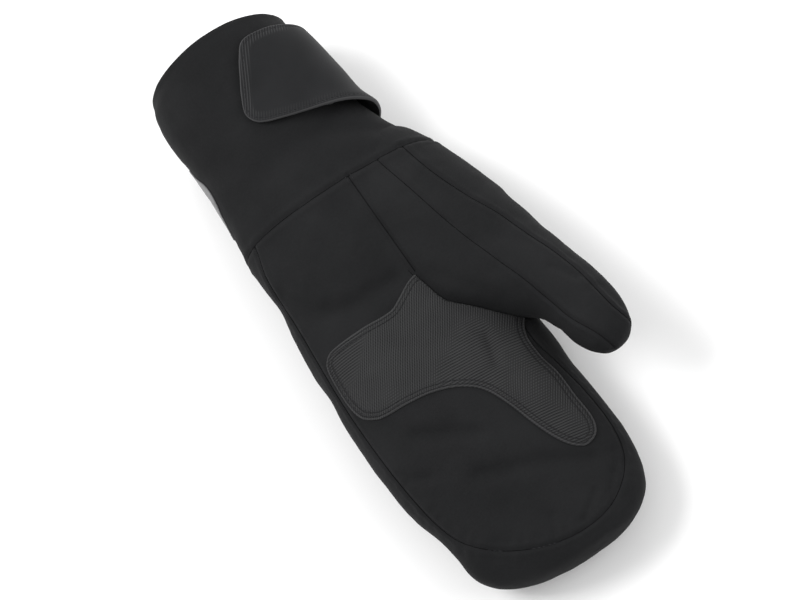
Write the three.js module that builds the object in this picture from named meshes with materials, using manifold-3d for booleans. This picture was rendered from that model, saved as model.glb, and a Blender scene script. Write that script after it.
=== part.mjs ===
// A left-hand waterproof overglove, laid on its back with the palm up.
//
// It is a hollow mitten shell of coated softshell cloth, sewn from panels:
// a gauntlet, a palm, a back that wraps round the sides and the fingertips,
// and three long panels that run from the wrist seam to the end of the thumb.
// On it are a woven grip patch, a reflective side flash, and a wide closure
// strap that wraps over the thumb side and lands on a fastener pad.
//
// Units are millimetres. +Z is up, out of the palm. The fingertips point
// along -Y, the cuff opens along +Y, and the thumb is on the +X side. The
// origin is on the flat that the back of the hand rests on, half way along.

import * as THREE from 'three';
import Module from 'manifold-3d';
import { mergeVertices } from 'three/addons/utils/BufferGeometryUtils.js';

const wasm = await Module();
wasm.setup();

// Driving dimensions
const WALL = 1.8;                // coated softshell cloth, two layers bonded
const SEAM_GAP = 0.36;           // the open line between two sewn panels
const SKIN_GAP = 0.3;            // between a piece and the cloth that it lies on
const PATCH_THICKNESS = 1.2;     // woven grip patch
const FLASH_THICKNESS = 0.6;     // reflective side flash
const PAD_THICKNESS = 1.2;       // hook-and-loop pad under the strap's tab
const STRAP_THICKNESS = 2;
const HEM_Y = 174.5;             // the hem is one straight cut
const THUMB_START_Y = 90;        // the thumb's panels are cut from here, inside the cuff
const THUMB_FREE_Y = 2;          // past here the thumb stands clear of the palm
const MID_HEIGHT = 30;           // between the palm's cloth and the back's, all along
const PALM_LOW = 28;             // the palm panel's edge reaches down to here
const SIDE_DROP = 2;             // the thumb's side seam runs this far under its centre line
const FAR = 150;                 // beyond the glove on any side

// Facets round the tubes, and steps along the curved edges
const HAND_SIDES = 44;
const THUMB_SIDES = 28;
const STEPS = { palm: 90, thumbBack: 4, thumbSeam: 40, patch: 110, strap: 90, pad: 40, flash: 14 };

// The hand and cuff: the outline seen from above (left, right) and from the
// side (low, high) at stations from the cuff to the fingertips, with how
// full the section's corners are (2 is an oval). A section that dips under
// z = 0 is pressed flat there by its own weight.
const HAND = [
  { y: 186, left: -45.5, right: 36.5, low: -3.0, high: 77.5, full: 1.9 },
  { y: 174, left: -46.8, right: 38.5, low: -3.0, high: 77.0, full: 1.9 },
  { y: 165, left: -50.2, right: 40.2, low: -3.0, high: 76.0, full: 1.95 },
  { y: 150, left: -51.9, right: 42.8, low: -3.0, high: 74.0, full: 2.05 },
  { y: 130, left: -50.2, right: 45.0, low: -3.0, high: 69.5, full: 2.1 },
  { y: 110, left: -50.2, right: 46.8, low: -3.0, high: 66.0, full: 2.15 },
  { y: 92, left: -50.8, right: 53.0, low: -3.0, high: 63.0, full: 2.2 },
  { y: 75, left: -52.6, right: 60.2, low: -3.0, high: 62.0, full: 2.3 },
  { y: 57, left: -53.2, right: 62.5, low: -3.0, high: 61.0, full: 2.4 },
  { y: 36, left: -53.0, right: 61.0, low: -3.0, high: 60.5, full: 2.4 },
  { y: 16, left: -55.7, right: 59.0, low: -3.0, high: 60.0, full: 2.4 },
  { y: -4, left: -58.3, right: 58.0, low: -3.0, high: 59.5, full: 2.4 },
  { y: -24, left: -58.2, right: 57.5, low: -3.0, high: 59.0, full: 2.4 },
  { y: -44, left: -59.4, right: 57.6, low: -3.0, high: 58.5, full: 2.4 },
  { y: -64, left: -59.6, right: 59.1, low: -3.0, high: 57.5, full: 2.4 },
  { y: -85, left: -58.2, right: 59.4, low: -3.0, high: 56.0, full: 2.4 },
  { y: -104, left: -55.5, right: 60.3, low: -2.5, high: 53.8, full: 2.4 },
  { y: -120, left: -51.6, right: 61.0, low: -1.0, high: 51.4, full: 2.4 },
  { y: -135, left: -49.3, right: 60.4, low: 1.8, high: 48.8, full: 2.4 },
  { y: -147, left: -47.8, right: 58.0, low: 4.6, high: 46.6, full: 2.4 },
  { y: -156, left: -43.4, right: 54.5, low: 7.4, high: 44.6, full: 2.4 },
  { y: -163, left: -34.6, right: 49.0, low: 10.2, high: 42.2, full: 2.4 },
  { y: -168.5, left: -21.5, right: 41.8, low: 13.6, high: 39.2, full: 2.4 },
  { y: -172, left: -6.0, right: 32.8, low: 17.6, high: 35.4, full: 2.4 },
];
const HAND_END = { x: 13.4, y: -173.8, z: 26.5 };

// The thumb: centre line, half width across and half height, from deep
// inside the wrist out to the tip. It lifts towards the palm. The side that
// faces the fingers is fuller above the centre line, and wider by the web.
const THUMB = [
  { x: 22, y: 90, z: 31, across: 21, up: 20, full: 2, web: 0 },
  { x: 29, y: 68, z: 32, across: 34, up: 26, full: 2, web: 0 },
  { x: 38, y: 36, z: 36, across: 37, up: 28.5, full: 2, web: 0 },
  { x: 49, y: 4, z: 41, across: 35, up: 27.5, full: 3, web: 1.5 },
  { x: 55.3, y: -10, z: 43.9, across: 31.1, up: 26, full: 3.2, web: 5.5 },
  { x: 62, y: -25, z: 47, across: 27, up: 24.5, full: 3, web: 1.5 },
  { x: 74.9, y: -50, z: 52.5, across: 19.9, up: 20, full: 2.3, web: 0 },
  { x: 80, y: -68, z: 56, across: 17.6, up: 17.4, full: 2, web: 0 },
  { x: 81.2, y: -81.5, z: 58, across: 16.7, up: 15.4, full: 2, web: 0 },
  { x: 82.1, y: -92, z: 59.2, across: 13.2, up: 12.4, full: 2, web: 0 },
  { x: 82.5, y: -98.4, z: 59.8, across: 8.2, up: 7.6, full: 2, web: 0 },
];
const THUMB_END = { x: 82.6, y: -101, z: 60 };

// Soft folds pressed into the palm side: a line of points, with the fold's
// half width and its depth
const FOLDS = [
  { line: [[-47, 36], [-36, 16], [-17, 7], [7, 5]], width: 8, depth: 3.2 },
  { line: [[-28, -73], [-5, -87]], width: 7, depth: 2.4 },
  { line: [[-15, -109], [12, -120], [36, -133]], width: 8, depth: 2.6 },
  { line: [[25, -48], [30, -68]], width: 7, depth: 2.2 },
  { line: [[40, 112], [12, 100], [-12, 96]], width: 9, depth: 2.4 },
];

// Seam lines seen from above, each from the wrist towards the tips
const WRIST_SEAM = [[-FAR, 72.5], [FAR, 60]];
const THUMB_ROOT_SEAM = [[18.5, 90], [18.5, -1]];
const THUMB_INNER_SEAM = [
  [34, 90], [35.5, 69], [42, 36], [48.6, 3], [57, -27], [62, -43], [67, -62], [71, -78], [77, -92],
  [84, -112],
];
const THUMB_OUTER_SEAM = [
  [46, 90], [50, 71], [55.7, 42], [63.4, 17], [71.5, -3], [77.5, -22], [83, -38], [87.4, -55],
  [89.6, -70], [91.4, -83], [94.6, -94], [98, -112],
];
// The back of the thumb's root, where the thumb meets the back panel
const THUMB_BACK_SEAM = [[44, 90], [47, 67], [52, 0]];

// The palm panel's outline beyond the wrist, from the little-finger side
// round the fingertips to the index side
const PALM_EDGE = [
  [-43.5, 100], [-44, 67], [-48.6, 49], [-50, 14], [-52.8, -30], [-53, -62], [-51.4, -92], [-48, -116],
  [-42, -133], [-31, -146.6], [-15, -157.4], [2, -163.2], [16, -164.6], [30, -162.4], [43.6, -154.6],
  [52.6, -142.6], [56.2, -126], [55.4, -103], [51.6, -80], [48.8, -66], [50, -46], [56, -20],
  [58, 40], [58, 100],
];

// The grip patch's outline. Its top right side runs in under the thumb.
const PATCH_EDGE = [
  [21, -2.6], [16.4, -2.2], [11.6, -3.6], [4, -8], [-4, -11.4], [-22, -9.8], [-36, -8.6], [-44, -8.8],
  [-48.4, -13], [-50.2, -25], [-50.4, -39], [-48, -48.4], [-42, -54.6], [-36, -57], [-24, -58.8],
  [-11, -61.6], [2, -67], [12, -75.6], [18.4, -89.6], [24.4, -109], [31, -123.4], [38.6, -129.6],
  [46.4, -127.2], [50, -119], [49.4, -103], [49, -88], [46.6, -75], [47.4, -60], [56, -44], [60, -20],
  [40, -6],
];

// The closure strap: its flat outline on the palm side, with a tab whose
// corners are round, and the two heights of its run down the thumb side
const STRAP_EDGE = [
  [70, 158], [44, 159.6], [24, 161.4], [12.4, 160], [6.4, 152], [-4, 134], [-7.6, 124.6], [-3.6, 117.2],
  [8, 111.8], [22, 107.4], [38, 104], [70, 99],
];
const STRAP_SIDE = { high: 157, low: 99, foot: 5, join: 34 };
const STRAP_ROOT_X = 20;         // the strap starts right of here on its underside

// How far the strap stands off where it bridges the wrist, the side that this
// faces, and the stations between which it rises and settles again
const STRAP_LIFT = { height: 2.6, facing: Math.PI / 5, from: 60, most: 110, to: 150, left: 0.6 };

// Towards its sewn end the strap comes down on to the cloth, between these turns
// below the level of the cuff's middle
const STRAP_SEAT = { from: 0.45, to: 0.85 };
const PAD_EDGE = [
  [34, 150], [21, 151.6], [16.6, 146], [7, 129], [3.6, 121.4], [12, 114.6], [26, 110.4], [36, 110],
];

// The reflective flash on the little-finger side, seen from that side
const FLASH = { from: 136, to: 86, height: 31, half: 15 };

// A rounded-box section: cosine and sine with fuller corners
function rounded(angle, fullness) {
  const power = 2 / fullness;
  const full = (v) => Math.sign(v) * Math.abs(v) ** power;
  return [full(Math.cos(angle)), full(Math.sin(angle))];
}

// How far from (x, y) a line of points passes
function distanceToLine(x, y, line) {
  let best = Infinity;
  for (let i = 0; i + 1 < line.length; i++) {
    const [ax, ay] = line[i];
    const [bx, by] = line[i + 1];
    const along = ((x - ax) * (bx - ax) + (y - ay) * (by - ay)) / ((bx - ax) ** 2 + (by - ay) ** 2);
    const t = Math.min(1, Math.max(0, along));
    best = Math.min(best, Math.hypot(x - ax - t * (bx - ax), y - ay - t * (by - ay)));
  }
  return best;
}

// How deep the folds press the palm side at (x, y)
function foldDepth(x, y) {
  return FOLDS.reduce((sum, fold) => {
    const away = distanceToLine(x, y, fold.line) / fold.width;
    return sum + fold.depth * Math.exp(-away * away);
  }, 0);
}

// Rings of points of the hand and cuff, from the cuff to the fingertips
function handRings() {
  return HAND.map((row) => {
    const ring = [];
    for (let i = 0; i < HAND_SIDES; i++) {
      const [c, s] = rounded((i / HAND_SIDES) * 2 * Math.PI, row.full);
      const x = (row.left + row.right) / 2 + ((row.right - row.left) / 2) * c;
      const z = (row.low + row.high) / 2 + ((row.high - row.low) / 2) * s;
      const pressed = z - foldDepth(x, row.y) * Math.max(0, s);
      ring.push(new THREE.Vector3(x, row.y, Math.max(0, pressed)));
    }
    return ring;
  });
}

// Rings of points of the thumb, square to its centre line seen from above
function thumbRings() {
  return THUMB.map((row, k) => {
    const before = THUMB[Math.max(k - 1, 0)];
    const after = THUMB[Math.min(k + 1, THUMB.length - 1)];
    const run = new THREE.Vector2(after.x - before.x, after.y - before.y).normalize();
    const ring = [];
    for (let i = 0; i < THUMB_SIDES; i++) {
      const angle = (i / THUMB_SIDES) * 2 * Math.PI;
      const facesFingers = Math.cos(angle) < 0;
      const [c, s] = rounded(angle, facesFingers && Math.sin(angle) > 0 ? row.full : 2);
      const side = (row.across + (facesFingers ? row.web : 0)) * c;
      ring.push(new THREE.Vector3(
        row.x - run.y * side,
        row.y + run.x * side,
        row.z + row.up * s,
      ));
    }
    return ring;
  });
}

// The rings moved out along their own surface by `grow`, or in where negative
function offsetRings(rings, tip, grow) {
  const moved = rings.map((ring, k) => ring.map((point, i) => {
    const sides = ring.length;
    const before = rings[Math.max(k - 1, 0)][i];
    const after = k + 1 < rings.length ? rings[k + 1][i] : tip;
    const round = ring[(i + 1) % sides].clone().sub(ring[(i + sides - 1) % sides]);
    const normal = round.cross(after.clone().sub(before)).normalize();
    return point.clone().addScaledVector(normal, grow);
  }));
  const last = rings[rings.length - 1];
  const middle = last.reduce((sum, p) => sum.add(p), new THREE.Vector3()).divideScalar(last.length);
  const outward = tip.clone().sub(middle).normalize();
  return [moved, tip.clone().addScaledVector(outward, grow)];
}

// A closed mesh through rings of points, with a flat start and a tip
function loft(rings, tip) {
  const sides = rings[0].length;
  const start = rings[0].reduce((sum, p) => sum.add(p), new THREE.Vector3()).divideScalar(sides);
  const points = [...rings.flat(), start, tip];
  const startIndex = rings.length * sides;
  const index = [];
  for (let i = 0; i < sides; i++) {
    const next = (i + 1) % sides;
    index.push(startIndex, next, i);
    for (let k = 0; k + 1 < rings.length; k++) {
      const [a, b] = [k * sides + i, k * sides + next];
      index.push(a, b, a + sides, b, b + sides, a + sides);
    }
    const end = (rings.length - 1) * sides;
    index.push(end + i, end + next, startIndex + 1);
  }
  const geometry = new THREE.BufferGeometry().setFromPoints(points);
  geometry.setIndex(index);
  return geometry;
}

// A three.js geometry as a solid for cutting and joining
function solid(geometry) {
  const bare = geometry.clone();
  bare.deleteAttribute('normal');
  bare.deleteAttribute('uv');
  const merged = mergeVertices(bare, 1e-5);
  return new wasm.Manifold(new wasm.Mesh({
    numProp: 3,
    vertProperties: new Float32Array(merged.attributes.position.array),
    triVerts: new Uint32Array(merged.index.array),
  }));
}

const vector = (p) => new THREE.Vector3(p.x, p.y, p.z);

// The hand's and the thumb's closed forms, grown or shrunk along their surface
const hand = (grow) => solid(loft(...offsetRings(handRings(), vector(HAND_END), grow)));
const thumb = (grow) => solid(loft(...offsetRings(thumbRings(), vector(THUMB_END), grow)));

// A smooth line through points seen from above
function curve(points, closed, steps) {
  const path = new THREE.CatmullRomCurve3(points.map(([x, y]) => new THREE.Vector3(x, y, 0)), closed);
  const line = path.getPoints(steps);
  return closed ? line.slice(0, -1) : line;
}

// An upright block over an outline
function block(outline, low, high) {
  const shape = new THREE.Shape(outline.map((p) => new THREE.Vector2(p.x, p.y)));
  const geometry = new THREE.ExtrudeGeometry(shape, { depth: high - low, bevelEnabled: false });
  return solid(geometry.translate(0, 0, low));
}

// A level block over an outline drawn in Y and Z, running along +X
function levelBlock(outline, from, length) {
  const shape = new THREE.Shape(outline.map(([y, z]) => new THREE.Vector2(y, z)));
  const geometry = new THREE.ExtrudeGeometry(shape, { depth: length, bevelEnabled: false });
  const turn = new THREE.Matrix4().set(0, 0, 1, from, 1, 0, 0, 0, 0, 1, 0, 0, 0, 0, 0, 1);
  return solid(geometry.applyMatrix4(turn));
}

// A thin upright sheet that follows a line, for cutting a seam
function sheet(line, low, high) {
  const side = (sign) => line.map((p, i) => {
    const before = line[Math.max(i - 1, 0)];
    const after = line[Math.min(i + 1, line.length - 1)];
    const run = new THREE.Vector2(after.x - before.x, after.y - before.y).normalize();
    const away = (sign * SEAM_GAP) / 2;
    return new THREE.Vector3(p.x - run.y * away, p.y + run.x * away, 0);
  });
  return block([...side(1), ...side(-1).reverse()], low, high);
}

const corner = (x, y) => new THREE.Vector3(x, y, 0);

// The wrist seam's place at x, on the straight line between its two ends
function wristSeamY(x) {
  const [[x0, y0], [x1, y1]] = WRIST_SEAM;
  return y0 + ((x - x0) / (x1 - x0)) * (y1 - y0);
}

// Everything on the finger side of the wrist seam
function beyondWrist() {
  return block([
    corner(-FAR, wristSeamY(-FAR)),
    corner(-FAR, -2 * FAR),
    corner(FAR, -2 * FAR),
    corner(FAR, wristSeamY(FAR)),
  ], -FAR, FAR);
}

// Everything between the hem and the wrist seam
function cuffBlock() {
  return block([
    corner(-FAR, wristSeamY(-FAR)),
    corner(FAR, wristSeamY(FAR)),
    corner(FAR, HEM_Y),
    corner(-FAR, HEM_Y),
  ], -FAR, FAR);
}

// The part of space that holds the thumb's three panels
function thumbBlock(grow) {
  const root = curve(THUMB_ROOT_SEAM, false, 1);
  const back = curve(THUMB_BACK_SEAM, false, STEPS.thumbBack);
  const rightOf = (seam) => [...seam, corner(FAR, seam.at(-1).y), corner(FAR, THUMB_START_Y)];
  const palmSide = block(rightOf(root), MID_HEIGHT, FAR);
  const backSide = block(rightOf(back), -FAR, MID_HEIGHT);
  const past = [[-FAR, -FAR], [THUMB_FREE_Y, -FAR], [THUMB_FREE_Y, FAR], [-FAR, FAR]];
  const free = thumb(grow).intersect(levelBlock(past, -FAR, 2 * FAR));
  return palmSide.add(backSide).add(free);
}

// The whole shell in one piece, before it is cut into panels
const outer = hand(0).add(thumb(0));
const inner = hand(-WALL).add(thumb(-WALL));
const shell = outer.subtract(inner);

// The gauntlet, from the hem to the wrist seam
function cuffPanel() {
  const wrist = curve(WRIST_SEAM, false, 1);
  return shell.intersect(cuffBlock()).subtract(sheet(wrist, -FAR, FAR));
}

// The shell beyond the wrist, opened along its seams and split into panels
function handPanels() {
  const palmEdge = curve(PALM_EDGE, false, STEPS.palm);
  const palmBlock = block(palmEdge, PALM_LOW, FAR);
  const rootCuts = [
    sheet(curve(WRIST_SEAM, false, 1), -FAR, FAR),
    sheet(curve(THUMB_ROOT_SEAM, false, 1), MID_HEIGHT, FAR),
    sheet(curve(THUMB_BACK_SEAM, false, STEPS.thumbBack), -FAR, MID_HEIGHT),
  ];
  const beyond = shell.intersect(beyondWrist());
  const opened = rootCuts.reduce((body, cut) => body.subtract(cut), beyond);
  const mitt = opened.subtract(sheet(palmEdge, PALM_LOW, FAR)).subtract(thumbBlock(SKIN_GAP + SEAM_GAP));
  return {
    palm_panel: mitt.intersect(palmBlock),
    back_panel: mitt.subtract(palmBlock),
    thumb_cloth: opened.intersect(thumbBlock(SKIN_GAP)),
  };
}

// The thumb's cloth split into inner, front and outer panels. The inner one
// ends half way down the side that faces the fingers.
function thumbPanels(thumbCloth) {
  const innerSeam = curve(THUMB_INNER_SEAM, false, STEPS.thumbSeam);
  const outerSeam = curve(THUMB_OUTER_SEAM, false, STEPS.thumbSeam);
  const aboveSide = (shift) => {
    const line = [...THUMB, { y: -FAR, z: THUMB_END.z }].map((row) => [row.y, row.z - SIDE_DROP + shift]);
    return levelBlock([...line, [-FAR, FAR], [THUMB_START_Y, FAR]], -FAR, 2 * FAR);
  };
  const upper = aboveSide(0);
  const upperRaised = aboveSide(SEAM_GAP);
  const leftOf = (seam) => block(
    [...seam, corner(-FAR, seam.at(-1).y), corner(-FAR, THUMB_START_Y)], -FAR, FAR,
  );
  const cuts = [innerSeam, outerSeam].map((seam) => sheet(seam, -FAR, FAR).intersect(upper));
  const opened = cuts.reduce((body, cut) => body.subtract(cut), thumbCloth);
  const top = opened.intersect(leftOf(outerSeam)).intersect(upperRaised);
  return {
    thumb_inner_panel: top.intersect(leftOf(innerSeam)),
    thumb_front_panel: top.subtract(leftOf(innerSeam)),
    thumb_outer_panel: opened.subtract(leftOf(outerSeam).intersect(upper)),
  };
}

// A layer that lies on the hand's cloth, `from` to `to` above it
const layer = (from, to) => hand(to).subtract(hand(from));

// The woven patch, cut away where the thumb lies over it
function gripPatch() {
  return layer(SKIN_GAP, SKIN_GAP + PATCH_THICKNESS)
    .intersect(block(curve(PATCH_EDGE, true, STEPS.patch), MID_HEIGHT, FAR))
    .subtract(thumb(SKIN_GAP + SEAM_GAP));
}

// A lens with pointed ends on the little-finger side
function sideFlash() {
  const edge = (sign) => Array.from({ length: STEPS.flash + 1 }, (_, i) => {
    const share = i / STEPS.flash;
    const y = THREE.MathUtils.lerp(FLASH.from, FLASH.to, share);
    return [y, FLASH.height + sign * FLASH.half * Math.sin(Math.PI * share)];
  });
  const outline = [...edge(-1), ...edge(1).reverse().slice(1, -1)];
  return layer(SKIN_GAP, SKIN_GAP + FLASH_THICKNESS).intersect(levelBlock(outline, -FAR, FAR));
}

// The fastener's pad, which the strap's tab covers
function fastenerPad() {
  return layer(SKIN_GAP, SKIN_GAP + PAD_THICKNESS)
    .intersect(block(curve(PAD_EDGE, true, STEPS.pad), MID_HEIGHT, FAR));
}

// The cuff's rings pushed out where the strap bridges the narrow wrist: most
// at its lower edge, on the side that faces up and out
function strapSolid(grow) {
  const { smoothstep, lerp } = THREE.MathUtils;
  const { height, facing, from, most, to, left } = STRAP_LIFT;
  const rings = handRings().map((ring) => ring.map((point, i) => {
    const angle = (i / HAND_SIDES) * 2 * Math.PI;
    const turned = Math.max(0, Math.cos(angle - facing)) ** 3;
    const slack = smoothstep(point.y, from, most) * lerp(1, left, smoothstep(point.y, most, to));
    const seated = smoothstep(Math.asin(-Math.sin(angle)), STRAP_SEAT.from, STRAP_SEAT.to);
    const out = height * turned * slack - (SKIN_GAP + PAD_THICKNESS) * seated;
    return new THREE.Vector3(point.x + out * Math.cos(angle), point.y, point.z + out * Math.sin(angle));
  }));
  return solid(loft(...offsetRings(rings, vector(HAND_END), grow)));
}

// The strap: its tab on the palm side, and its run down the thumb side
function cuffStrap() {
  const { high, low, foot, join } = STRAP_SIDE;
  const lift = 2 * SKIN_GAP + PAD_THICKNESS;
  const loop = strapSolid(lift + STRAP_THICKNESS).subtract(strapSolid(lift));
  const tab = block(curve(STRAP_EDGE, true, STEPS.strap), join, FAR);
  const side = levelBlock([[low, foot], [high, foot], [high, join], [low, join]], STRAP_ROOT_X, FAR);
  return loop.intersect(tab.add(side));
}

// Finishes
const cloth = new THREE.MeshStandardMaterial({ color: 0x26272a, roughness: 0.85, metalness: 0 });
const weave = new THREE.MeshStandardMaterial({ color: 0x353638, roughness: 0.7, metalness: 0 });
const band = new THREE.MeshStandardMaterial({ color: 0x2b2c30, roughness: 0.6, metalness: 0 });
const hook = new THREE.MeshStandardMaterial({ color: 0x151617, roughness: 0.95, metalness: 0 });
const reflective = new THREE.MeshStandardMaterial({ color: 0x8a8b8c, roughness: 0.45, metalness: 0.2 });

// A named mesh of a finished solid, without the crumbs that a cut leaves
function piece(name, body, material) {
  const [whole] = body.decompose().sort((a, b) => b.volume() - a.volume());
  const { vertProperties, triVerts, numProp } = whole.getMesh();
  const geometry = new THREE.BufferGeometry();
  const interleaved = new THREE.InterleavedBuffer(vertProperties, numProp);
  geometry.setAttribute('position', new THREE.InterleavedBufferAttribute(interleaved, 3, 0));
  geometry.setIndex([...triVerts]);
  geometry.computeVertexNormals();
  const mesh = new THREE.Mesh(geometry, material);
  mesh.name = name;
  return mesh;
}

const glove = new THREE.Group();
const { palm_panel, back_panel, thumb_cloth } = handPanels();
glove.add(
  piece('gauntlet', cuffPanel(), cloth),
  piece('palm_panel', palm_panel, cloth),
  piece('back_panel', back_panel, cloth),
  ...Object.entries(thumbPanels(thumb_cloth)).map(([name, body]) => piece(name, body, cloth)),
  piece('grip_patch', gripPatch(), weave),
  piece('side_flash', sideFlash(), reflective),
  piece('fastener_pad', fastenerPad(), hook),
  piece('cuff_strap', cuffStrap(), band),
);

export default glove;
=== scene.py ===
"""Looks of a left-hand waterproof overmitten that lies on its back, palm up.

The cloth shell is one lofted form, shaped by folds, seams and small creases, and
cut into the same panels as the fixed frame. The grip patch, the side flash, the
fastener pad and the closure strap are sheets with turned edges and sewn stitches.
Tables are in millimetres, in the frame's own axes, and meshes are in metres.
"""

import logging
import math
from dataclasses import dataclass, field
from enum import Enum
from typing import Callable, Iterable, Sequence

import bpy
import numpy as np
from mathutils import Matrix, Vector
from mathutils.bvhtree import BVHTree
from mathutils.geometry import delaunay_2d_cdt
from mathutils.kdtree import KDTree


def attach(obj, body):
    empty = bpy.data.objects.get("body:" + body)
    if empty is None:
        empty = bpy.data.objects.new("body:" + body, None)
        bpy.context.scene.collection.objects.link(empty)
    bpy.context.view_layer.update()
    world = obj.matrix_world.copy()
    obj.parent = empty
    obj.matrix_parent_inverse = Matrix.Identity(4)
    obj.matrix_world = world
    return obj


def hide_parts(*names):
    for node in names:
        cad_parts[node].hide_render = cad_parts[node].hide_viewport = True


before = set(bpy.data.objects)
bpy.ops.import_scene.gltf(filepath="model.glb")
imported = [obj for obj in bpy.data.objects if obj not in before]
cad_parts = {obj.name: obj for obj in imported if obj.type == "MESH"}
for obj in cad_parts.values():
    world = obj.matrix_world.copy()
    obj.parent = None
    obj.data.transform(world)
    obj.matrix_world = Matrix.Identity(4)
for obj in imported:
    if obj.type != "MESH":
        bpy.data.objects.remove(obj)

log = logging.getLogger("overmitten")

MM = 0.001
BODY = "root"
FAR = 150.0
MID_HEIGHT = 30.0
PALM_LOW = 28.0
SIDE_DROP = 2.0
THUMB_START_Y = 90.0
THUMB_FREE_Y = 2.0
UP = np.array([0.0, 0.0, 1.0])
TINY = 1e-12
CURVE_POINTS = 1500
SEAM_STEP = 0.8
SHARP_ANGLE = math.radians(42)

Way = tuple[float, float, float]
Tone = tuple[float, float, float]


def smoothstep(value: np.ndarray, low: float, high: float) -> np.ndarray:
    """Ease from 0 at low to 1 at high.

    Args:
        value: Numbers to ease.
        low: Where the result leaves 0.
        high: Where the result reaches 1.

    Returns:
        The eased numbers.
    """
    t = np.clip((value - low) / (high - low), 0.0, 1.0)
    return t * t * (3.0 - 2.0 * t)


def through(rows: np.ndarray, knots: np.ndarray, at: np.ndarray) -> np.ndarray:
    """Smooth curve through table rows.

    Args:
        rows: One row of values for each knot.
        knots: Rising parameter of each row.
        at: Parameters to work out.

    Returns:
        One row of values for each parameter asked for.
    """
    slopes = np.empty_like(rows)
    slopes[1:-1] = (rows[2:] - rows[:-2]) / (knots[2:] - knots[:-2])[:, None]
    slopes[0] = (rows[1] - rows[0]) / (knots[1] - knots[0])
    slopes[-1] = (rows[-1] - rows[-2]) / (knots[-1] - knots[-2])
    i = np.clip(np.searchsorted(knots, at, side="right") - 1, 0, len(knots) - 2)
    span = (knots[i + 1] - knots[i])[:, None]
    t = ((at - knots[i]) / span[:, 0])[:, None]
    t2, t3 = t * t, t * t * t
    return (
        (2 * t3 - 3 * t2 + 1) * rows[i]
        + (t3 - 2 * t2 + t) * span * slopes[i]
        + (3 * t2 - 2 * t3) * rows[i + 1]
        + (t3 - t2) * span * slopes[i + 1]
    )


def run_along(line: np.ndarray) -> np.ndarray:
    """Distance along a line to each of its points."""
    return np.concatenate([[0.0], np.cumsum(np.linalg.norm(np.diff(line, axis=0), axis=1))])


def points_at(line: np.ndarray, run: np.ndarray, at: np.ndarray | float) -> np.ndarray:
    """Points of a line at other distances along it.

    Args:
        line: Points along the line.
        run: Rising distance of each.
        at: One distance or more.

    Returns:
        One point for each distance.
    """
    return np.stack([np.interp(at, run, column) for column in line.T], axis=-1)


def units(vectors: np.ndarray) -> np.ndarray:
    """Vectors of the same directions, each 1 long."""
    return vectors / (np.linalg.norm(vectors, axis=-1, keepdims=True) + TINY)


def signed_power(value: np.ndarray, power: np.ndarray | float) -> np.ndarray:
    """Powers of the numbers' sizes, with their signs kept."""
    return np.sign(value) * np.abs(value) ** power


def rise_at(away: np.ndarray, place: float, width: float) -> np.ndarray:
    """Rounded rise, 1 high at its place and fading over its width."""
    return np.exp(-(((away - place) / width) ** 2))


def smooth_line(points: Sequence[Sequence[float]], step: float, closed: bool = False) -> np.ndarray:
    """Smooth line through a few points, with even steps.

    Args:
        points: The points that the line goes through.
        step: Distance between the points given back.
        closed: Whether the line comes back to its start.

    Returns:
        Points along the line, without the last one where it is closed.
    """
    rows = np.array(points, float)
    if closed:
        rows = np.vstack([rows[-2:], rows, rows[:3]])
    knots = run_along(rows)
    first, last = (knots[2], knots[-3]) if closed else (knots[0], knots[-1])
    dense = through(rows, knots, np.linspace(first, last, CURVE_POINTS))
    run = run_along(dense)
    count = max(3, int(round(run[-1] / step)))
    line = points_at(dense, run, np.linspace(0.0, run[-1], count + 1))
    return line[:-1] if closed else line


def even_steps(outline: np.ndarray, step: float) -> np.ndarray:
    """Points at even steps round a closed outline.

    Args:
        outline: Corners of the outline.
        step: Distance between the points given back.

    Returns:
        The points.
    """
    closed = np.vstack([outline, outline[:1]])
    run = run_along(closed)
    return points_at(closed, run, np.linspace(0, run[-1], int(run[-1] / step) + 1)[:-1])


def line_sides(line: np.ndarray, closed: bool = False) -> np.ndarray:
    """Unit vectors square to a flat line, to the left of its run.

    Args:
        line: Flat points along the line.
        closed: Whether the line comes back to its start.

    Returns:
        One flat unit vector for each point.
    """
    if closed:
        run = np.roll(line, -1, axis=0) - np.roll(line, 1, axis=0)
    else:
        run = np.gradient(line, axis=0)
    run = units(run)
    return np.stack([-run[:, 1], run[:, 0]], axis=1)


def signed_area(outline: np.ndarray) -> float:
    """Area of a flat outline, above 0 where it runs anticlockwise."""
    x, y = outline[:, 0], outline[:, 1]
    return 0.5 * float(np.sum(x * np.roll(y, -1) - y * np.roll(x, -1)))


def anticlockwise(outline: np.ndarray) -> np.ndarray:
    """The outline, turned round if it runs clockwise."""
    return outline if signed_area(outline) > 0 else outline[::-1]


def inside_outline(points: np.ndarray, outline: np.ndarray) -> np.ndarray:
    """Tell which flat points lie inside a flat outline.

    Args:
        points: Points to test.
        outline: Corners of the outline.

    Returns:
        True for each point that is inside.
    """
    inside = np.zeros(len(points), bool)
    for (ax, ay), (bx, by) in zip(outline, np.roll(outline, -1, axis=0)):
        if ay == by:
            continue
        crosses = (ay > points[:, 1]) != (by > points[:, 1])
        at = (bx - ax) * (points[:, 1] - ay) / (by - ay) + ax
        inside ^= crosses & (points[:, 0] < at)
    return inside


def nearest(line: np.ndarray, points: np.ndarray) -> tuple[np.ndarray, np.ndarray]:
    """Find how far points are from a line of close points.

    Args:
        line: Close points along the line, in two or three dimensions.
        points: Points to measure.

    Returns:
        The distances, and the index of the nearest point of the line.
    """
    flat = line.shape[1] == 2
    tree = KDTree(len(line))
    for i, p in enumerate(line):
        tree.insert((p[0], p[1], 0.0) if flat else p, i)
    tree.balance()
    found = [tree.find((p[0], p[1], 0.0) if flat else p) for p in points]
    return np.array([f[2] for f in found]), np.array([f[1] for f in found])


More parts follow.
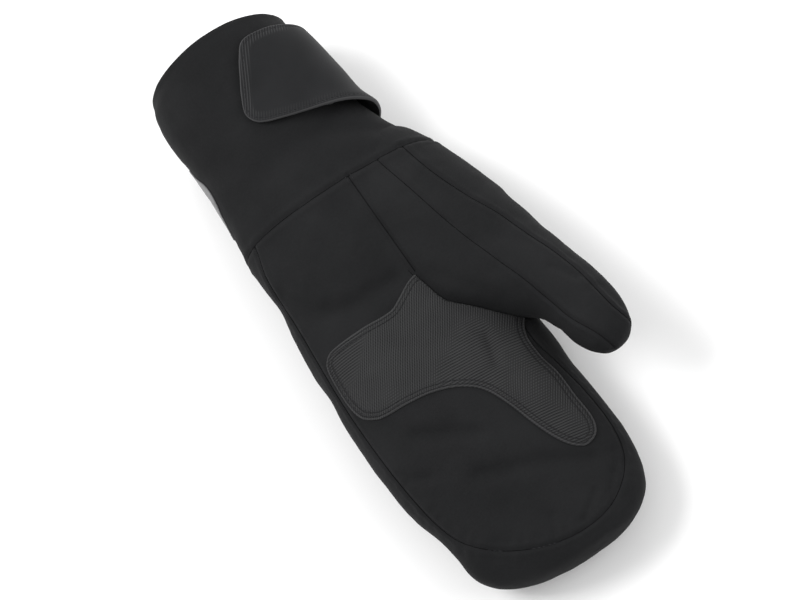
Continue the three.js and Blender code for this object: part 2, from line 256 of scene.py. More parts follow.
class Ripple:
    """Smooth seeded noise made of a few sine waves in random directions."""

    def __init__(self, seed: int, wavelength: float, waves: int = 14) -> None:
        """Draw the waves.

        Args:
            seed: Seed of the random draws.
            wavelength: Typical distance between crests, in millimetres.
            waves: How many sine waves are summed.
        """
        rng = np.random.default_rng(seed)
        directions = units(rng.normal(size=(waves, 3)))
        lengths = wavelength * rng.uniform(0.7, 1.5, waves)
        self.waves = directions * (2 * math.pi / lengths)[:, None]
        self.phases = rng.uniform(0, 2 * math.pi, waves)

    def __call__(self, points: np.ndarray) -> np.ndarray:
        """Value at each point, mostly from -1 to 1."""
        return np.sin(points @ self.waves.T + self.phases).sum(axis=1) / math.sqrt(len(self.phases))


def new_object(name: str, points: np.ndarray, faces: Iterable[Sequence[int]]) -> bpy.types.Object:
    """Make a mesh object from points in millimetres.

    Args:
        name: Name of the object and its mesh.
        points: Places of the vertices.
        faces: Vertex indices of each face.

    Returns:
        The new object, in the scene.
    """
    mesh = bpy.data.meshes.new(name)
    mesh.from_pydata((np.asarray(points, float) * MM).tolist(), [], [tuple(f) for f in faces])
    mesh.update()
    piece = bpy.data.objects.new(name, mesh)
    bpy.context.scene.collection.objects.link(piece)
    return piece


def points_of(piece: bpy.types.Object) -> np.ndarray:
    """Places of an object's vertices, in millimetres."""
    flat = np.empty(len(piece.data.vertices) * 3)
    piece.data.vertices.foreach_get("co", flat)
    return flat.reshape(-1, 3) / MM


def discard(*pieces: bpy.types.Object) -> None:
    """Remove working objects and their meshes."""
    for piece in pieces:
        mesh = piece.data
        bpy.data.objects.remove(piece)
        bpy.data.meshes.remove(mesh)


def store(piece: bpy.types.Object, name: str, values: np.ndarray) -> None:
    """Store a number or a vector on each point of a piece.

    Args:
        piece: The piece.
        name: Name under which a material finds it.
        values: One number or one row for each point.
    """
    kind, key = ("FLOAT_VECTOR", "vector") if values.ndim == 2 else ("FLOAT", "value")
    attribute = piece.data.attributes.new(name, kind, "POINT")
    attribute.data.foreach_set(key, values.astype(np.float32).ravel())


def ring_faces(rings: int, sides: int) -> list[tuple[int, ...]]:
    """Faces between rings of points, one ring after the other.

    Args:
        rings: How many rings.
        sides: How many points in each.

    Returns:
        Point indices of each face.
    """
    faces = []
    for a in range(0, (rings - 1) * sides, sides):
        for i in range(sides):
            j = (i + 1) % sides
            faces.append((a + i, a + j, a + sides + j, a + sides + i))
    return faces


class Cut(Enum):
    """How two solids are combined."""

    JOIN = "UNION"
    KEEP = "INTERSECT"
    TAKE = "DIFFERENCE"


def combined(name: str, first: bpy.types.Object, how: Cut, second: bpy.types.Object) -> bpy.types.Object:
    """Combine two closed meshes into a new object.

    Args:
        name: Name of the new object.
        first: The solid that is changed.
        how: What is done to it.
        second: The solid that it is combined with.

    Returns:
        The new object. Both inputs stay.
    """
    change = first.modifiers.new("cut", "BOOLEAN")
    change.operation = how.value
    change.solver = "MANIFOLD"
    change.object = second
    bpy.context.view_layer.update()
    shaped = first.evaluated_get(bpy.context.evaluated_depsgraph_get())
    mesh = bpy.data.meshes.new_from_object(shaped)
    first.modifiers.remove(change)
    mesh.name = name
    result = bpy.data.objects.new(name, mesh)
    bpy.context.scene.collection.objects.link(result)
    return result


def opened(piece: bpy.types.Object, *cuts: bpy.types.Object) -> bpy.types.Object:
    """Take cuts out of a piece.

    Args:
        piece: The piece, which is used up.
        cuts: What is taken out of it, which stays.

    Returns:
        The new object.
    """
    for cut in cuts:
        fresh = combined(piece.name, piece, Cut.TAKE, cut)
        discard(piece)
        piece = fresh
    return piece


def largest_body(piece: bpy.types.Object) -> None:
    """Delete the crumbs that a cut leaves, and keep the largest body."""
    mesh = piece.data
    parent = list(range(len(mesh.vertices)))

    def root(i: int) -> int:
        """Follow the links to a body's first vertex."""
        while parent[i] != i:
            parent[i] = parent[parent[i]]
            i = parent[i]
        return i

    for a, b in mesh.edge_keys:
        ra, rb = root(a), root(b)
        if ra != rb:
            parent[rb] = ra
    roots = np.array([root(i) for i in range(len(parent))])
    names, counts = np.unique(roots, return_counts=True)
    if len(names) < 2:
        return
    keep = roots == names[np.argmax(counts)]
    faces = [tuple(p.vertices) for p in mesh.polygons if keep[p.vertices[0]]]
    index = np.cumsum(keep) - 1
    points = [tuple(v.co) for v, k in zip(mesh.vertices, keep) if k]
    fresh = bpy.data.meshes.new(piece.name)
    fresh.from_pydata(points, [], [tuple(int(index[i]) for i in f) for f in faces])
    piece.data = fresh
    bpy.data.meshes.remove(mesh)


def block(outline: np.ndarray, low: float, high: float) -> bpy.types.Object:
    """Upright block over a flat outline.

    Args:
        outline: Flat corners, in either direction.
        low: Height of its underside.
        high: Height of its top.

    Returns:
        A closed working object.
    """
    flat = anticlockwise(outline)
    n = len(flat)
    points = np.vstack([np.c_[flat, np.full(n, low)], np.c_[flat, np.full(n, high)]])
    sides = [(i, (i + 1) % n, n + (i + 1) % n, n + i) for i in range(n)]
    triangles = delaunay_2d_cdt([Vector(p) for p in flat], [], [list(range(n))], 1, 1e-6)[2]
    faces = sides + [tuple(n + i for i in t) for t in triangles] + [tuple(reversed(t)) for t in triangles]
    return new_object("block", points, faces)


def blade(line: np.ndarray, width: float, low: float, high: float) -> bpy.types.Object:
    """Thin upright block that follows a line, for opening a seam.

    Args:
        line: Flat points along the seam.
        width: Width of the open line.
        low: Height of its underside.
        high: Height of its top.

    Returns:
        A closed working object.
    """
    away = line_sides(line) * width / 2
    return block(np.vstack([line + away, (line - away)[::-1]]), low, high)


@dataclass(frozen=True)
class Fold:
    """A soft valley or ridge pressed into the cloth along a line seen from above."""

    line: tuple[tuple[float, float], ...]
    width: float
    depth: float
    on_thumb: bool = False


@dataclass
class Seams:
    """Seam lines seen from above, each from the wrist towards the tips."""

    gap: float = 0.3
    wrist: tuple = ((-FAR, 72.5), (FAR, 60.0))
    thumb_root: tuple = ((18.5, 90.0), (18.5, -1.0))
    thumb_back: tuple = ((44.0, 90.0), (47.0, 67.0), (52.0, 0.0))
    thumb_inner: tuple = (
        (34, 90), (35.5, 69), (42, 36), (48.6, 3), (57, -27), (62, -43), (67, -62), (71, -78),
        (77, -92), (84, -112),
    )
    thumb_outer: tuple = (
        (46, 90), (50, 71), (55.7, 42), (63.4, 17), (71.5, -3), (77.5, -22), (83, -38), (87.4, -55),
        (89.6, -70), (91.4, -83), (94.6, -94), (98, -112),
    )
    palm_edge: tuple = (
        (-43.5, 100), (-44, 67), (-48.6, 49), (-50, 14), (-52.8, -30), (-53, -62), (-51.4, -92),
        (-48, -116), (-42, -133), (-31, -146.6), (-15, -157.4), (2, -163.2), (16, -164.6),
        (30, -162.4), (43.6, -154.6), (52.6, -142.6), (56.2, -126), (55.4, -103), (51.6, -80),
        (48.8, -66), (50, -46), (56, -20), (58, 40), (58, 100),
    )

    def wrist_y(self, x: np.ndarray | float) -> np.ndarray | float:
        """Place of the wrist seam at x."""
        (x0, y0), (x1, y1) = self.wrist
        return y0 + (x - x0) / (x1 - x0) * (y1 - y0)


@dataclass(frozen=True)
class Wave:
    """A wave along a seam whose pitch wanders."""

    length: float
    sway: float
    slow: float

    def __call__(self, run: np.ndarray, shift: float = 0.0) -> np.ndarray:
        """Value at each distance, from -1 to 1."""
        return np.sin(run / self.length + self.sway * np.sin(run / self.slow + shift))


@dataclass(frozen=True)
class SeamProfile:
    """Section of the cloth beside a seam: a groove, then a welt, then puckers."""

    groove_depth: float = 0.62
    groove_width: float = 0.95
    welt_height: float = 0.34
    welt_place: float = 2.5
    welt_width: float = 1.3
    pucker_height: float = 0.2
    pucker_place: float = 4.0
    pucker_width: float = 3.6

    def height(self, away: np.ndarray, pucker: np.ndarray) -> np.ndarray:
        """Height of the cloth by its distance from the seam.

        Args:
            away: Distance from the seam.
            pucker: The puckers' wave at the same points.

        Returns:
            The height at each point.
        """
        groove = -self.groove_depth * rise_at(away, 0.0, self.groove_width)
        welt = self.welt_height * rise_at(away, self.welt_place, self.welt_width)
        crease = self.pucker_height * pucker * rise_at(away, self.pucker_place, self.pucker_width)
        return groove + welt + crease


@dataclass
class Form:
    """The outer form of the mitten: a hand tube and a thumb tube, with folds and seams."""

    wall: float = 1.8
    hem_y: float = 174.5
    hem_rise: float = 0.3
    hem_place: float = 1.2
    hem_width: float = 1.4
    panel_seam: SeamProfile = SeamProfile()
    wrist_seam: SeamProfile = SeamProfile(0.62, 1.0, 0.36, 2.8, 1.5, 0.16, 4.5, 4.0)
    seam_reach: float = 16.0
    long_pucker: Wave = Wave(3.1, 1.7, 8.3)
    short_pucker: Wave = Wave(1.35, 1.2, 4.1)
    wrist_pucker: Wave = Wave(2.6, 1.5, 9.0)
    pucker_swell: float = 11.0
    wrist_radius: float = 40.0
    tip_pucker: float = 1.1
    tips_from: float = 62.0
    tips_full: float = 96.0
    fold_facing: tuple[float, float] = (-0.1, 0.5)
    floor_reach: float = 1.5
    typical_section: tuple[float, float, float] = (54.0, 32.0, 2.3)
    ripples: tuple = (
        # seed, wavelength, waves, height
        (11, 62.0, 14, 0.45),
        (12, 19.0, 14, 0.2),
        (13, 7.5, 20, 0.05),
    )
    hand_table: tuple = (
        # y, left, right, low, high, fullness
        (186, -45.5, 36.5, -3.0, 77.5, 1.9),
        (174, -46.8, 38.5, -3.0, 77.0, 1.9),
        (165, -50.2, 40.2, -3.0, 76.0, 1.95),
        (150, -51.9, 42.8, -3.0, 74.0, 2.05),
        (130, -50.2, 45.0, -3.0, 69.5, 2.1),
        (110, -50.2, 46.8, -3.0, 66.0, 2.15),
        (92, -50.8, 53.0, -3.0, 63.0, 2.2),
        (75, -52.6, 60.2, -3.0, 62.0, 2.3),
        (57, -53.2, 62.5, -3.0, 61.0, 2.4),
        (36, -53.0, 61.0, -3.0, 60.5, 2.4),
        (16, -55.7, 59.0, -3.0, 60.0, 2.4),
        (-4, -58.3, 58.0, -3.0, 59.5, 2.4),
        (-24, -58.2, 57.5, -3.0, 59.0, 2.4),
        (-44, -59.4, 57.6, -3.0, 58.5, 2.4),
        (-64, -59.6, 59.1, -3.0, 57.5, 2.4),
        (-85, -58.2, 59.4, -3.0, 56.0, 2.4),
        (-104, -55.5, 60.3, -2.5, 53.8, 2.4),
        (-120, -51.6, 61.0, -1.0, 51.4, 2.4),
        (-135, -49.3, 60.4, 1.8, 48.8, 2.4),
        (-147, -47.8, 58.0, 4.6, 46.6, 2.4),
        (-156, -43.4, 54.5, 7.4, 44.6, 2.4),
        (-163, -34.6, 49.0, 10.2, 42.2, 2.4),
        (-168.5, -21.5, 41.8, 13.6, 39.2, 2.4),
        (-172, -6.0, 32.8, 17.6, 35.4, 2.4),
        (-173.8, 13.4, 13.4, 26.5, 26.5, 2.4),
    )
    thumb_table: tuple = (
        # x, y, z, across, up, fullness, web
        (22, 90, 31, 21, 20, 2, 0),
        (29, 68, 32, 34, 26, 2, 0),
        (38, 36, 36, 37, 28.5, 2, 0),
        (49, 4, 41, 35, 27.5, 3, 1.5),
        (55.3, -10, 43.9, 31.1, 26, 3.2, 5.5),
        (62, -25, 47, 27, 24.5, 3, 1.5),
        (74.9, -50, 52.5, 19.9, 20, 2.3, 0),
        (80, -68, 56, 17.6, 17.4, 2, 0),
        (81.2, -81.5, 58, 16.7, 15.4, 2, 0),
        (82.1, -92, 59.2, 13.2, 12.4, 2, 0),
        (82.5, -98.4, 59.8, 8.2, 7.6, 2, 0),
        (82.6, -101, 60, 0.0, 0.0, 2, 0),
    )
    folds: tuple[Fold, ...] = (
        # The heel of the palm, with the valley above the patch
        Fold(((-47, 36), (-42, 26), (-37, 14), (-28, 8.5), (-18, 4.5), (-7, 3.7), (7, 2.6)), 6.0, 3.0),
        Fold(((-46, 60), (-40, 44), (-34, 34)), 6.0, -0.9),
        # The palm beyond the patch, and the crease in the patch
        Fold(((-30, -75), (-17, -83.5), (-4, -92)), 4.6, 1.9),
        Fold(((-15, -111), (0, -118), (12, -123), (26, -130), (38, -137)), 4.8, 2.2),
        Fold(((-47, -89), (-38, -96)), 3.2, 1.2),
        Fold(((29.9, -52), (28, -60), (25.5, -68)), 3.2, 1.7),
        # The fingertips
        Fold(((17, -161), (30, -152)), 2.2, 0.9),
        Fold(((33, -163), (44, -148)), 2.4, 1.0),
        Fold(((45, -152), (50, -138)), 2.0, 0.8),
        Fold(((-2, -162), (4, -150)), 2.0, 0.6),
        # The cuff and the wrist
        Fold(((40, 112), (26, 104), (10, 99), (-12, 96)), 8.0, 1.9),
        Fold(((30, 92), (44, 84), (52, 80)), 5.0, 1.5),
        Fold(((-46, 118), (-30, 108), (-16, 106)), 9.0, 1.2),
        Fold(((-40, 150), (-20, 140)), 10.0, 1.0),
        Fold(((-10, 60), (8, 48), (16, 30)), 7.0, 1.0),
        # The thumb
        Fold(((78, -47), (86, -60)), 2.6, 1.1, True),
        Fold(((93, -70), (96, -84)), 2.4, 1.0, True),
        Fold(((62, -12), (72, -26)), 5.0, 0.9, True),
        Fold(((26, -10), (36, -27), (47, -43)), 4.0, 0.9, True),
        Fold(((74, -70), (82, -84)), 4.0, 0.7, True),
    )
    seams: Seams = field(default_factory=Seams)
    seam_lines: list[np.ndarray] = field(default_factory=list)

    def __post_init__(self) -> None:
        """Make smooth dense tables of sections, and the noise of the cloth."""
        hand = np.array(self.hand_table, float)
        steps = np.sqrt(np.diff(hand[:, 0]) ** 2 + (np.diff(hand[:, 1]) ** 2 + np.diff(hand[:, 2]) ** 2) / 2)
        self.hand_rows = hand
        self.hand_knots = np.concatenate([[0.0], np.cumsum(steps)])
        self.thumb_rows = np.array(self.thumb_table, float)
        self.thumb_knots = run_along(self.thumb_rows[:, :4])
        self.noise = [(height, Ripple(*drawn)) for *drawn, height in self.ripples]

    def even_angles(self, sides: int) -> np.ndarray:
        """Angles that space points evenly round a typical section.

        Args:
            sides: How many points there are.

        Returns:
            The angles, from 0.
        """
        angle = np.linspace(0, 2 * math.pi, 4001)
        half_width, half_height, full = self.typical_section
        x = half_width * signed_power(np.cos(angle), 2 / full)
        z = half_height * signed_power(np.sin(angle), 2 / full)
        run = run_along(np.stack([x, z], axis=1))
        return np.interp(np.linspace(0, run[-1], sides, endpoint=False), run, angle)

    @staticmethod
    def section(row: np.ndarray, angle: np.ndarray) -> np.ndarray:
        """Points of the hand's sections.

        Args:
            row: Section values, one row for each point or one for all.
            angle: Angle round the section of each point.

        Returns:
            One point for each angle.
        """
        y, left, right, low, high, full = row.T
        x = (left + right) / 2 + (right - left) / 2 * signed_power(np.cos(angle), 2 / full)
        z = (low + high) / 2 + (high - low) / 2 * signed_power(np.sin(angle), 2 / full)
        return np.stack([x, np.broadcast_to(y, x.shape), z], axis=-1)

    def cuff_rows(self, y: np.ndarray | float) -> np.ndarray:
        """Section values of the cuff at places along it.

        Args:
            y: One place or more.

        Returns:
            One row of values for each place.
        """
        dense = through(self.hand_rows, self.hand_knots, np.linspace(0, self.hand_knots[13], 500))
        rising = dense[np.argsort(dense[:, 0])]
        return points_at(rising, rising[:, 0], y)

    def hand_rings(self, stations: int, sides: int) -> np.ndarray:
        """Rings of the hand tube, before folds.

        Args:
            stations: How many rings.
            sides: How many points in each.

        Returns:
            An array of stations by sides by 3.
        """
        at = np.linspace(0, self.hand_knots[-1], stations + 1)[:-1]
        rows = through(self.hand_rows, self.hand_knots, at)
        angles = self.even_angles(sides)
        grid = np.repeat(rows, sides, axis=0)
        return self.section(grid, np.tile(angles, stations)).reshape(stations, sides, 3)

    def thumb_rings(self, stations: int, sides: int) -> np.ndarray:
        """Rings of the thumb tube, square to its centre line seen from above.

        Args:
            stations: How many rings.
            sides: How many points in each.

        Returns:
            An array of stations by sides by 3.
        """
        at = np.linspace(0, self.thumb_knots[-1], stations + 1)[:-1]
        rows = through(self.thumb_rows, self.thumb_knots, at)
        run = units(np.gradient(rows[:, :2], axis=0))
        x, y, z, across, up, full, web = rows.T[:, :, None]
        angle = np.linspace(0, 2 * math.pi, sides, endpoint=False)[None]
        c, s = np.cos(angle), np.sin(angle)
        power = np.where((c < 0) & (s > 0), 2 / full, 1.0)
        side = (across + np.where(c < 0, web, 0.0)) * signed_power(c, power)
        rise = up * signed_power(s, power)
        return np.stack([x - run[:, 1:] * side, y + run[:, :1] * side, z + rise], axis=-1)

    @staticmethod
    def ring_normals(rings: np.ndarray) -> np.ndarray:
        """Outward unit vectors of a tube's points."""
        around = np.roll(rings, -1, axis=1) - np.roll(rings, 1, axis=1)
        along = np.gradient(rings, axis=0)
        return units(np.cross(around, along))

    def fold_depth(self, points: np.ndarray, on_thumb: bool) -> np.ndarray:
        """How deep the folds press the palm side.

        Args:
            points: Points on the cloth.
            on_thumb: Whether they are the thumb's.

        Returns:
            The depth at each point.
        """
        depth = np.zeros(len(points))
        for fold in self.folds:
            if fold.on_thumb != on_thumb:
                continue
            line = smooth_line(fold.line, 1.0)
            reach = 3.2 * fold.width
            low, high = line.min(axis=0) - reach, line.max(axis=0) + reach
            near = np.all((points[:, :2] > low) & (points[:, :2] < high), axis=1)
            if not near.any():
                continue
            away, _ = nearest(line, points[near, :2])
            depth[near] += fold.depth * rise_at(away, 0.0, fold.width)
        return depth

    def seam_relief(self, points: np.ndarray) -> np.ndarray:
        """Groove, welts and puckers beside the seams, outward from the cloth.

        Args:
            points: Points on the cloth.

        Returns:
            The height at each point.
        """
        height = np.zeros(len(points))
        for number, line in enumerate(self.seam_lines):
            low, high = line.min(axis=0) - self.seam_reach, line.max(axis=0) + self.seam_reach
            near = np.all((points > low) & (points < high), axis=1)
            away, index = nearest(line, points[near])
            run = index * SEAM_STEP
            tips = smoothstep(-points[near][:, 1], self.tips_from, self.tips_full)
            pucker = self.long_pucker(run, number) * np.sin(run / self.pucker_swell + number)
            pucker = pucker + self.tip_pucker * self.short_pucker(run, number) * tips
            height[near] += self.panel_seam.height(away, pucker)
        away = np.abs(points[:, 1] - self.seams.wrist_y(points[:, 0]))
        around = np.arctan2(points[:, 2] - MID_HEIGHT, points[:, 0]) * self.wrist_radius
        height += self.wrist_seam.height(away, self.wrist_pucker(around))
        height += self.hem_rise * rise_at(self.hem_y - points[:, 1], self.hem_place, self.hem_width)
        return height

    def relief(self, points: np.ndarray, normals: np.ndarray, on_thumb: bool) -> np.ndarray:
        """All the cloth's relief, outward.

        Args:
            points: Points on the smooth form.
            normals: Outward unit vectors there.
            on_thumb: Whether they are the thumb's.

        Returns:
            The height at each point.
        """
        height = -self.fold_depth(points, on_thumb) * smoothstep(normals[:, 2], *self.fold_facing)
        height += sum(size * ripple(points) for size, ripple in self.noise)
        return height + self.seam_relief(points)

    def pressed(self, points: np.ndarray) -> np.ndarray:
        """Flatten what would dip under the surface that the glove lies on."""
        reach = self.floor_reach
        z = points[:, 2]
        eased = (z + reach) ** 2 / (4 * reach)
        flat = points.copy()
        flat[:, 2] = np.where(z > reach, z, np.where(z < -reach, 0.0, eased))
        return flat

    def tube(self, name: str, on_thumb: bool, size: tuple[int, int], grow: float) -> bpy.types.Object:
        """A closed tube with all its relief.

        Args:
            name: Name of the working object.
            on_thumb: Whether it is the thumb's tube, and not the hand's.
            size: Stations and sides.
            grow: How far it stands outside the cloth, below 0 for inside.

        Returns:
            The working object.
        """
        stations, sides = size
        rings = (self.thumb_rings if on_thumb else self.hand_rings)(stations, sides)
        normals = self.ring_normals(rings).reshape(-1, 3)
        flat = rings.reshape(-1, 3)
        shaped = flat + normals * self.relief(flat, normals, on_thumb)[:, None]
        shaped = self.pressed(shaped)
        outward = self.ring_normals(shaped.reshape(stations, sides, 3)).reshape(-1, 3)
        points = shaped + outward * grow
        table = self.thumb_rows if on_thumb else self.hand_rows
        end = table[-1]
        tip = end[:3] if on_thumb else np.array([end[1], end[0], end[3]])
        before = points[-sides:].mean(axis=0)
        way = (tip - before) / np.linalg.norm(tip - before)
        start = points[:sides].mean(axis=0)
        points = np.vstack([points, start, tip + way * grow])
        faces = ring_faces(stations, sides)
        first, last = stations * sides, stations * sides + 1
        end_ring = (stations - 1) * sides
        for i in range(sides):
            j = (i + 1) % sides
            faces.append((first, j, i))
            faces.append((end_ring + i, end_ring + j, last))
        return new_object(name, points, faces)


class Surface:
    """A finished mesh that other pieces are laid on."""

    def __init__(self, *pieces: bpy.types.Object) -> None:
        """Read the meshes, in millimetres."""
        self.trees = []
        for piece in pieces:
            faces = [tuple(p.vertices) for p in piece.data.polygons]
            self.trees.append(BVHTree.FromPolygons(points_of(piece).tolist(), faces))

    def hit(self, start: Sequence[float], way: Sequence[float]) -> np.ndarray | None:
        """The first point that a ray meets, or None.

        Args:
            start: Where the ray starts.
            way: Its direction.

        Returns:
            The point, nearest to the start over all the meshes.
        """
        best, place = math.inf, None
        for tree in self.trees:
            spot, _, _, distance = tree.ray_cast(Vector(start), Vector(way))
            if spot is not None and distance < best:
                best, place = distance, np.array(spot)
        return place

    def drop(self, flat: np.ndarray, upward: bool = False) -> np.ndarray:
        """Drop flat points on to the surface from above, or raise them from below.

        Args:
            flat: Flat points.
            upward: Whether the rays come from below.

        Returns:
            The points met, where there are any.
        """
        start, way = (-FAR, (0, 0, 1)) if upward else (FAR, (0, 0, -1))
        found = [self.hit((x, y, start), way) for x, y in flat]
        return np.array([p for p in found if p is not None])

    def cover(self, flat: np.ndarray, above: float = MID_HEIGHT) -> np.ndarray:
        """Drop flat points from above, and take the nearest place for those that miss.

        Args:
            flat: Flat points.
            above: Height at which a point that misses looks for the surface.

        Returns:
            One point for each.
        """
        laid = np.empty((len(flat), 3))
        for i, (x, y) in enumerate(flat):
            spot = self.hit((x, y, FAR), (0, 0, -1))
            if spot is None:
                spot = np.array(self.trees[0].find_nearest(Vector((x, y, above)))[0])
            laid[i] = spot
        return laid


@dataclass(frozen=True)
class Sheet:
    """A flat cut of cloth with a turned edge, laid on a surface."""

    name: str
    outline: np.ndarray
    thickness: float
    edge_roll: float
    spacing: float
    seat: float
    grooves: tuple[float, ...] = ()
    groove_depth: float = 0.25
    groove_width: float = 0.55
    rim_share: float = 0.35
    edge_rings: tuple[float, ...] = (0.35, 0.8, 1.4, 2.1, 2.9)
    ring_share: float = 0.92
    row_share: float = 0.866
    grid_share: float = 0.7
    outline_step: float = 0.15

    def height(self, away: np.ndarray) -> np.ndarray:
        """Height of the top over the cloth, by distance from the edge.

        Args:
            away: Distance from the edge.

        Returns:
            The height.
        """
        roll = np.clip(away / self.edge_roll, 0, 1)
        curve = self.rim_share + (1 - self.rim_share) * np.sqrt(1 - (1 - roll) ** 2)
        rise = self.seat + self.thickness * curve
        for groove in self.grooves:
            rise = rise - self.groove_depth * rise_at(away, groove, self.groove_width)
        return rise

    def flat_points(self, outline: np.ndarray) -> np.ndarray:
        """Points to mesh: the outline, rings close inside it and an even grid.

        Args:
            outline: The outline, anticlockwise.

        Returns:
            Flat points, the outline's first.
        """
        inward = line_sides(outline, closed=True)
        layers = [outline]
        for depth in self.edge_rings:
            ring = outline + inward * depth
            away, _ = nearest(outline, ring)
            layers.append(ring[(away > self.ring_share * depth) & inside_outline(ring, outline)])
        low, high = outline.min(axis=0), outline.max(axis=0)
        xs = np.arange(low[0], high[0], self.spacing)
        ys = np.arange(low[1], high[1], self.spacing * self.row_share)
        grid = np.array([(x + self.spacing / 2 * (k % 2), y) for k, y in enumerate(ys) for x in xs])
        grid = grid[inside_outline(grid, outline)]
        away, _ = nearest(outline, grid)
        layers.append(grid[away > self.edge_rings[-1] + self.spacing * self.grid_share])
        return np.vstack(layers)

    def build(self, place: Callable[[np.ndarray], np.ndarray]) -> bpy.types.Object:
        """Make the sheet as one closed mesh.

        Args:
            place: Gives the point on the surface for each flat point.

        Returns:
            The new object, with its distance from the edge stored on its points.
        """
        outline = anticlockwise(self.outline)
        flat = self.flat_points(outline)
        n = len(outline)
        rim = [(i, (i + 1) % n) for i in range(n)]
        made = delaunay_2d_cdt([Vector(p) for p in flat], rim, [], 1, 1e-5)
        flat = np.array([tuple(p) for p in made[0]])
        triangles = made[2]
        away, _ = nearest(smooth_line(outline, self.outline_step, closed=True), flat)
        base = place(flat)
        normals = self.normals(base, triangles)
        top = base + normals * self.height(away)[:, None]
        under = base + normals * self.seat
        count = len(flat)
        faces = [tuple(t) for t in triangles]
        used = {(t[i], t[(i + 1) % 3]) for t in faces for i in range(3)}
        border = [(a, b) for a, b in used if (b, a) not in used]
        faces += [tuple(count + i for i in reversed(t)) for t in triangles]
        faces += [(b, a, count + a, count + b) for a, b in border]
        piece = new_object(self.name, np.vstack([top, under]), faces)
        store(piece, "edge_distance", np.concatenate([away, np.zeros(count)]))
        store(piece, "flat_place", np.c_[np.vstack([flat, flat]), np.zeros(2 * count)])
        return piece

    @staticmethod
    def normals(points: np.ndarray, triangles: Sequence[Sequence[int]]) -> np.ndarray:
        """Unit vectors square to a sheet of triangles, at its points."""
        index = np.array(triangles)
        a, b, c = points[index[:, 0]], points[index[:, 1]], points[index[:, 2]]
        faces = np.cross(b - a, c - a)
        total = np.zeros_like(points)
        for k in range(3):
            np.add.at(total, index[:, k], faces)
        return units(total)


@dataclass(frozen=True)
class Stitching:
    """A row of sewn stitches as small raised threads."""

    length: float = 2.1
    pitch: float = 2.9
    radius: float = 0.26
    sunk: float = 0.08
    bow: float = 0.7
    longest: float = 1.5
    spans: tuple[float, ...] = (-1.0, -0.72, 0.0, 0.72, 1.0)
    girths: tuple[float, ...] = (0.3, 0.85, 1.0, 0.85, 0.3)
    sides: int = 6

    def stitch(self, line: np.ndarray, normals: np.ndarray, at: float) -> np.ndarray | None:
        """Points of one stitch, a ring for each span.

        Args:
            line: Points along the row.
            normals: Outward unit vectors there.
            at: Distance along the row of the stitch's middle.

        Returns:
            The points, or None where the row has a gap.
        """
        run = run_along(line)
        ends = points_at(line, run, at + np.array([-1, 1]) * self.length / 2)
        along = ends[1] - ends[0]
        if np.linalg.norm(along) > self.longest * self.length:
            return None
        middle = points_at(line, run, at)
        out = units(points_at(normals, run, at))
        turns = np.linspace(0, 2 * math.pi, self.sides, endpoint=False)[:, None]
        circle = np.cos(turns) * out + np.sin(turns) * np.cross(units(along), out)
        rings = []
        for span, girth in zip(self.spans, self.girths):
            lift = self.radius * (1 - span * span) * self.bow - self.sunk
            rings.append(middle + along / 2 * span + out * lift + circle * self.radius * girth)
        return np.vstack(rings)

    def build(self, name: str, rows: Sequence[tuple[np.ndarray, np.ndarray]]) -> bpy.types.Object:
        """Make all the stitches of a piece as one mesh.

        Args:
            name: Name of the new object.
            rows: For each row, its points and the outward unit vectors there.

        Returns:
            The new object.
        """
        made = []
        for line, normals in rows:
            last = run_along(line)[-1] - self.pitch / 2
            made += [self.stitch(line, normals, at) for at in np.arange(self.pitch / 2, last, self.pitch)]
        made = [stitch for stitch in made if stitch is not None]
        count = len(self.spans) * self.sides
        ends = [tuple(range(self.sides)), tuple(reversed(range(count - self.sides, count)))]
        pattern = [tuple(reversed(f)) for f in ring_faces(len(self.spans), self.sides)] + ends
        faces = [tuple(k * count + i for i in f) for k in range(len(made)) for f in pattern]
        return new_object(name, np.vstack(made), faces)


def sewn_stretches(track: np.ndarray, top: Surface, clear: Surface) -> list[tuple[np.ndarray, np.ndarray]]:
    """Lay a flat track on a surface, in stretches that nothing covers.

    Args:
        track: Flat points.
        top: The surface that is sewn.
        clear: The same surface with what may cover it.

    Returns:
        Points and outward unit vectors of each stretch.
    """
    covered, fewest = 0.3, 8
    stretches: list[list[np.ndarray]] = [[]]
    for x, y in track:
        on_top = top.hit((x, y, FAR), (0, 0, -1))
        first = clear.hit((x, y, FAR), (0, 0, -1))
        if on_top is None or first is None or first[2] - on_top[2] > covered:
            stretches.append([])
        else:
            stretches[-1].append(on_top)
    rows = []
    for stretch in stretches:
        if len(stretch) >= fewest:
            line = np.array(stretch)
            along = np.gradient(line, axis=0)
            rows.append((line, units(np.cross(np.cross(along, UP), along))))
    return rows


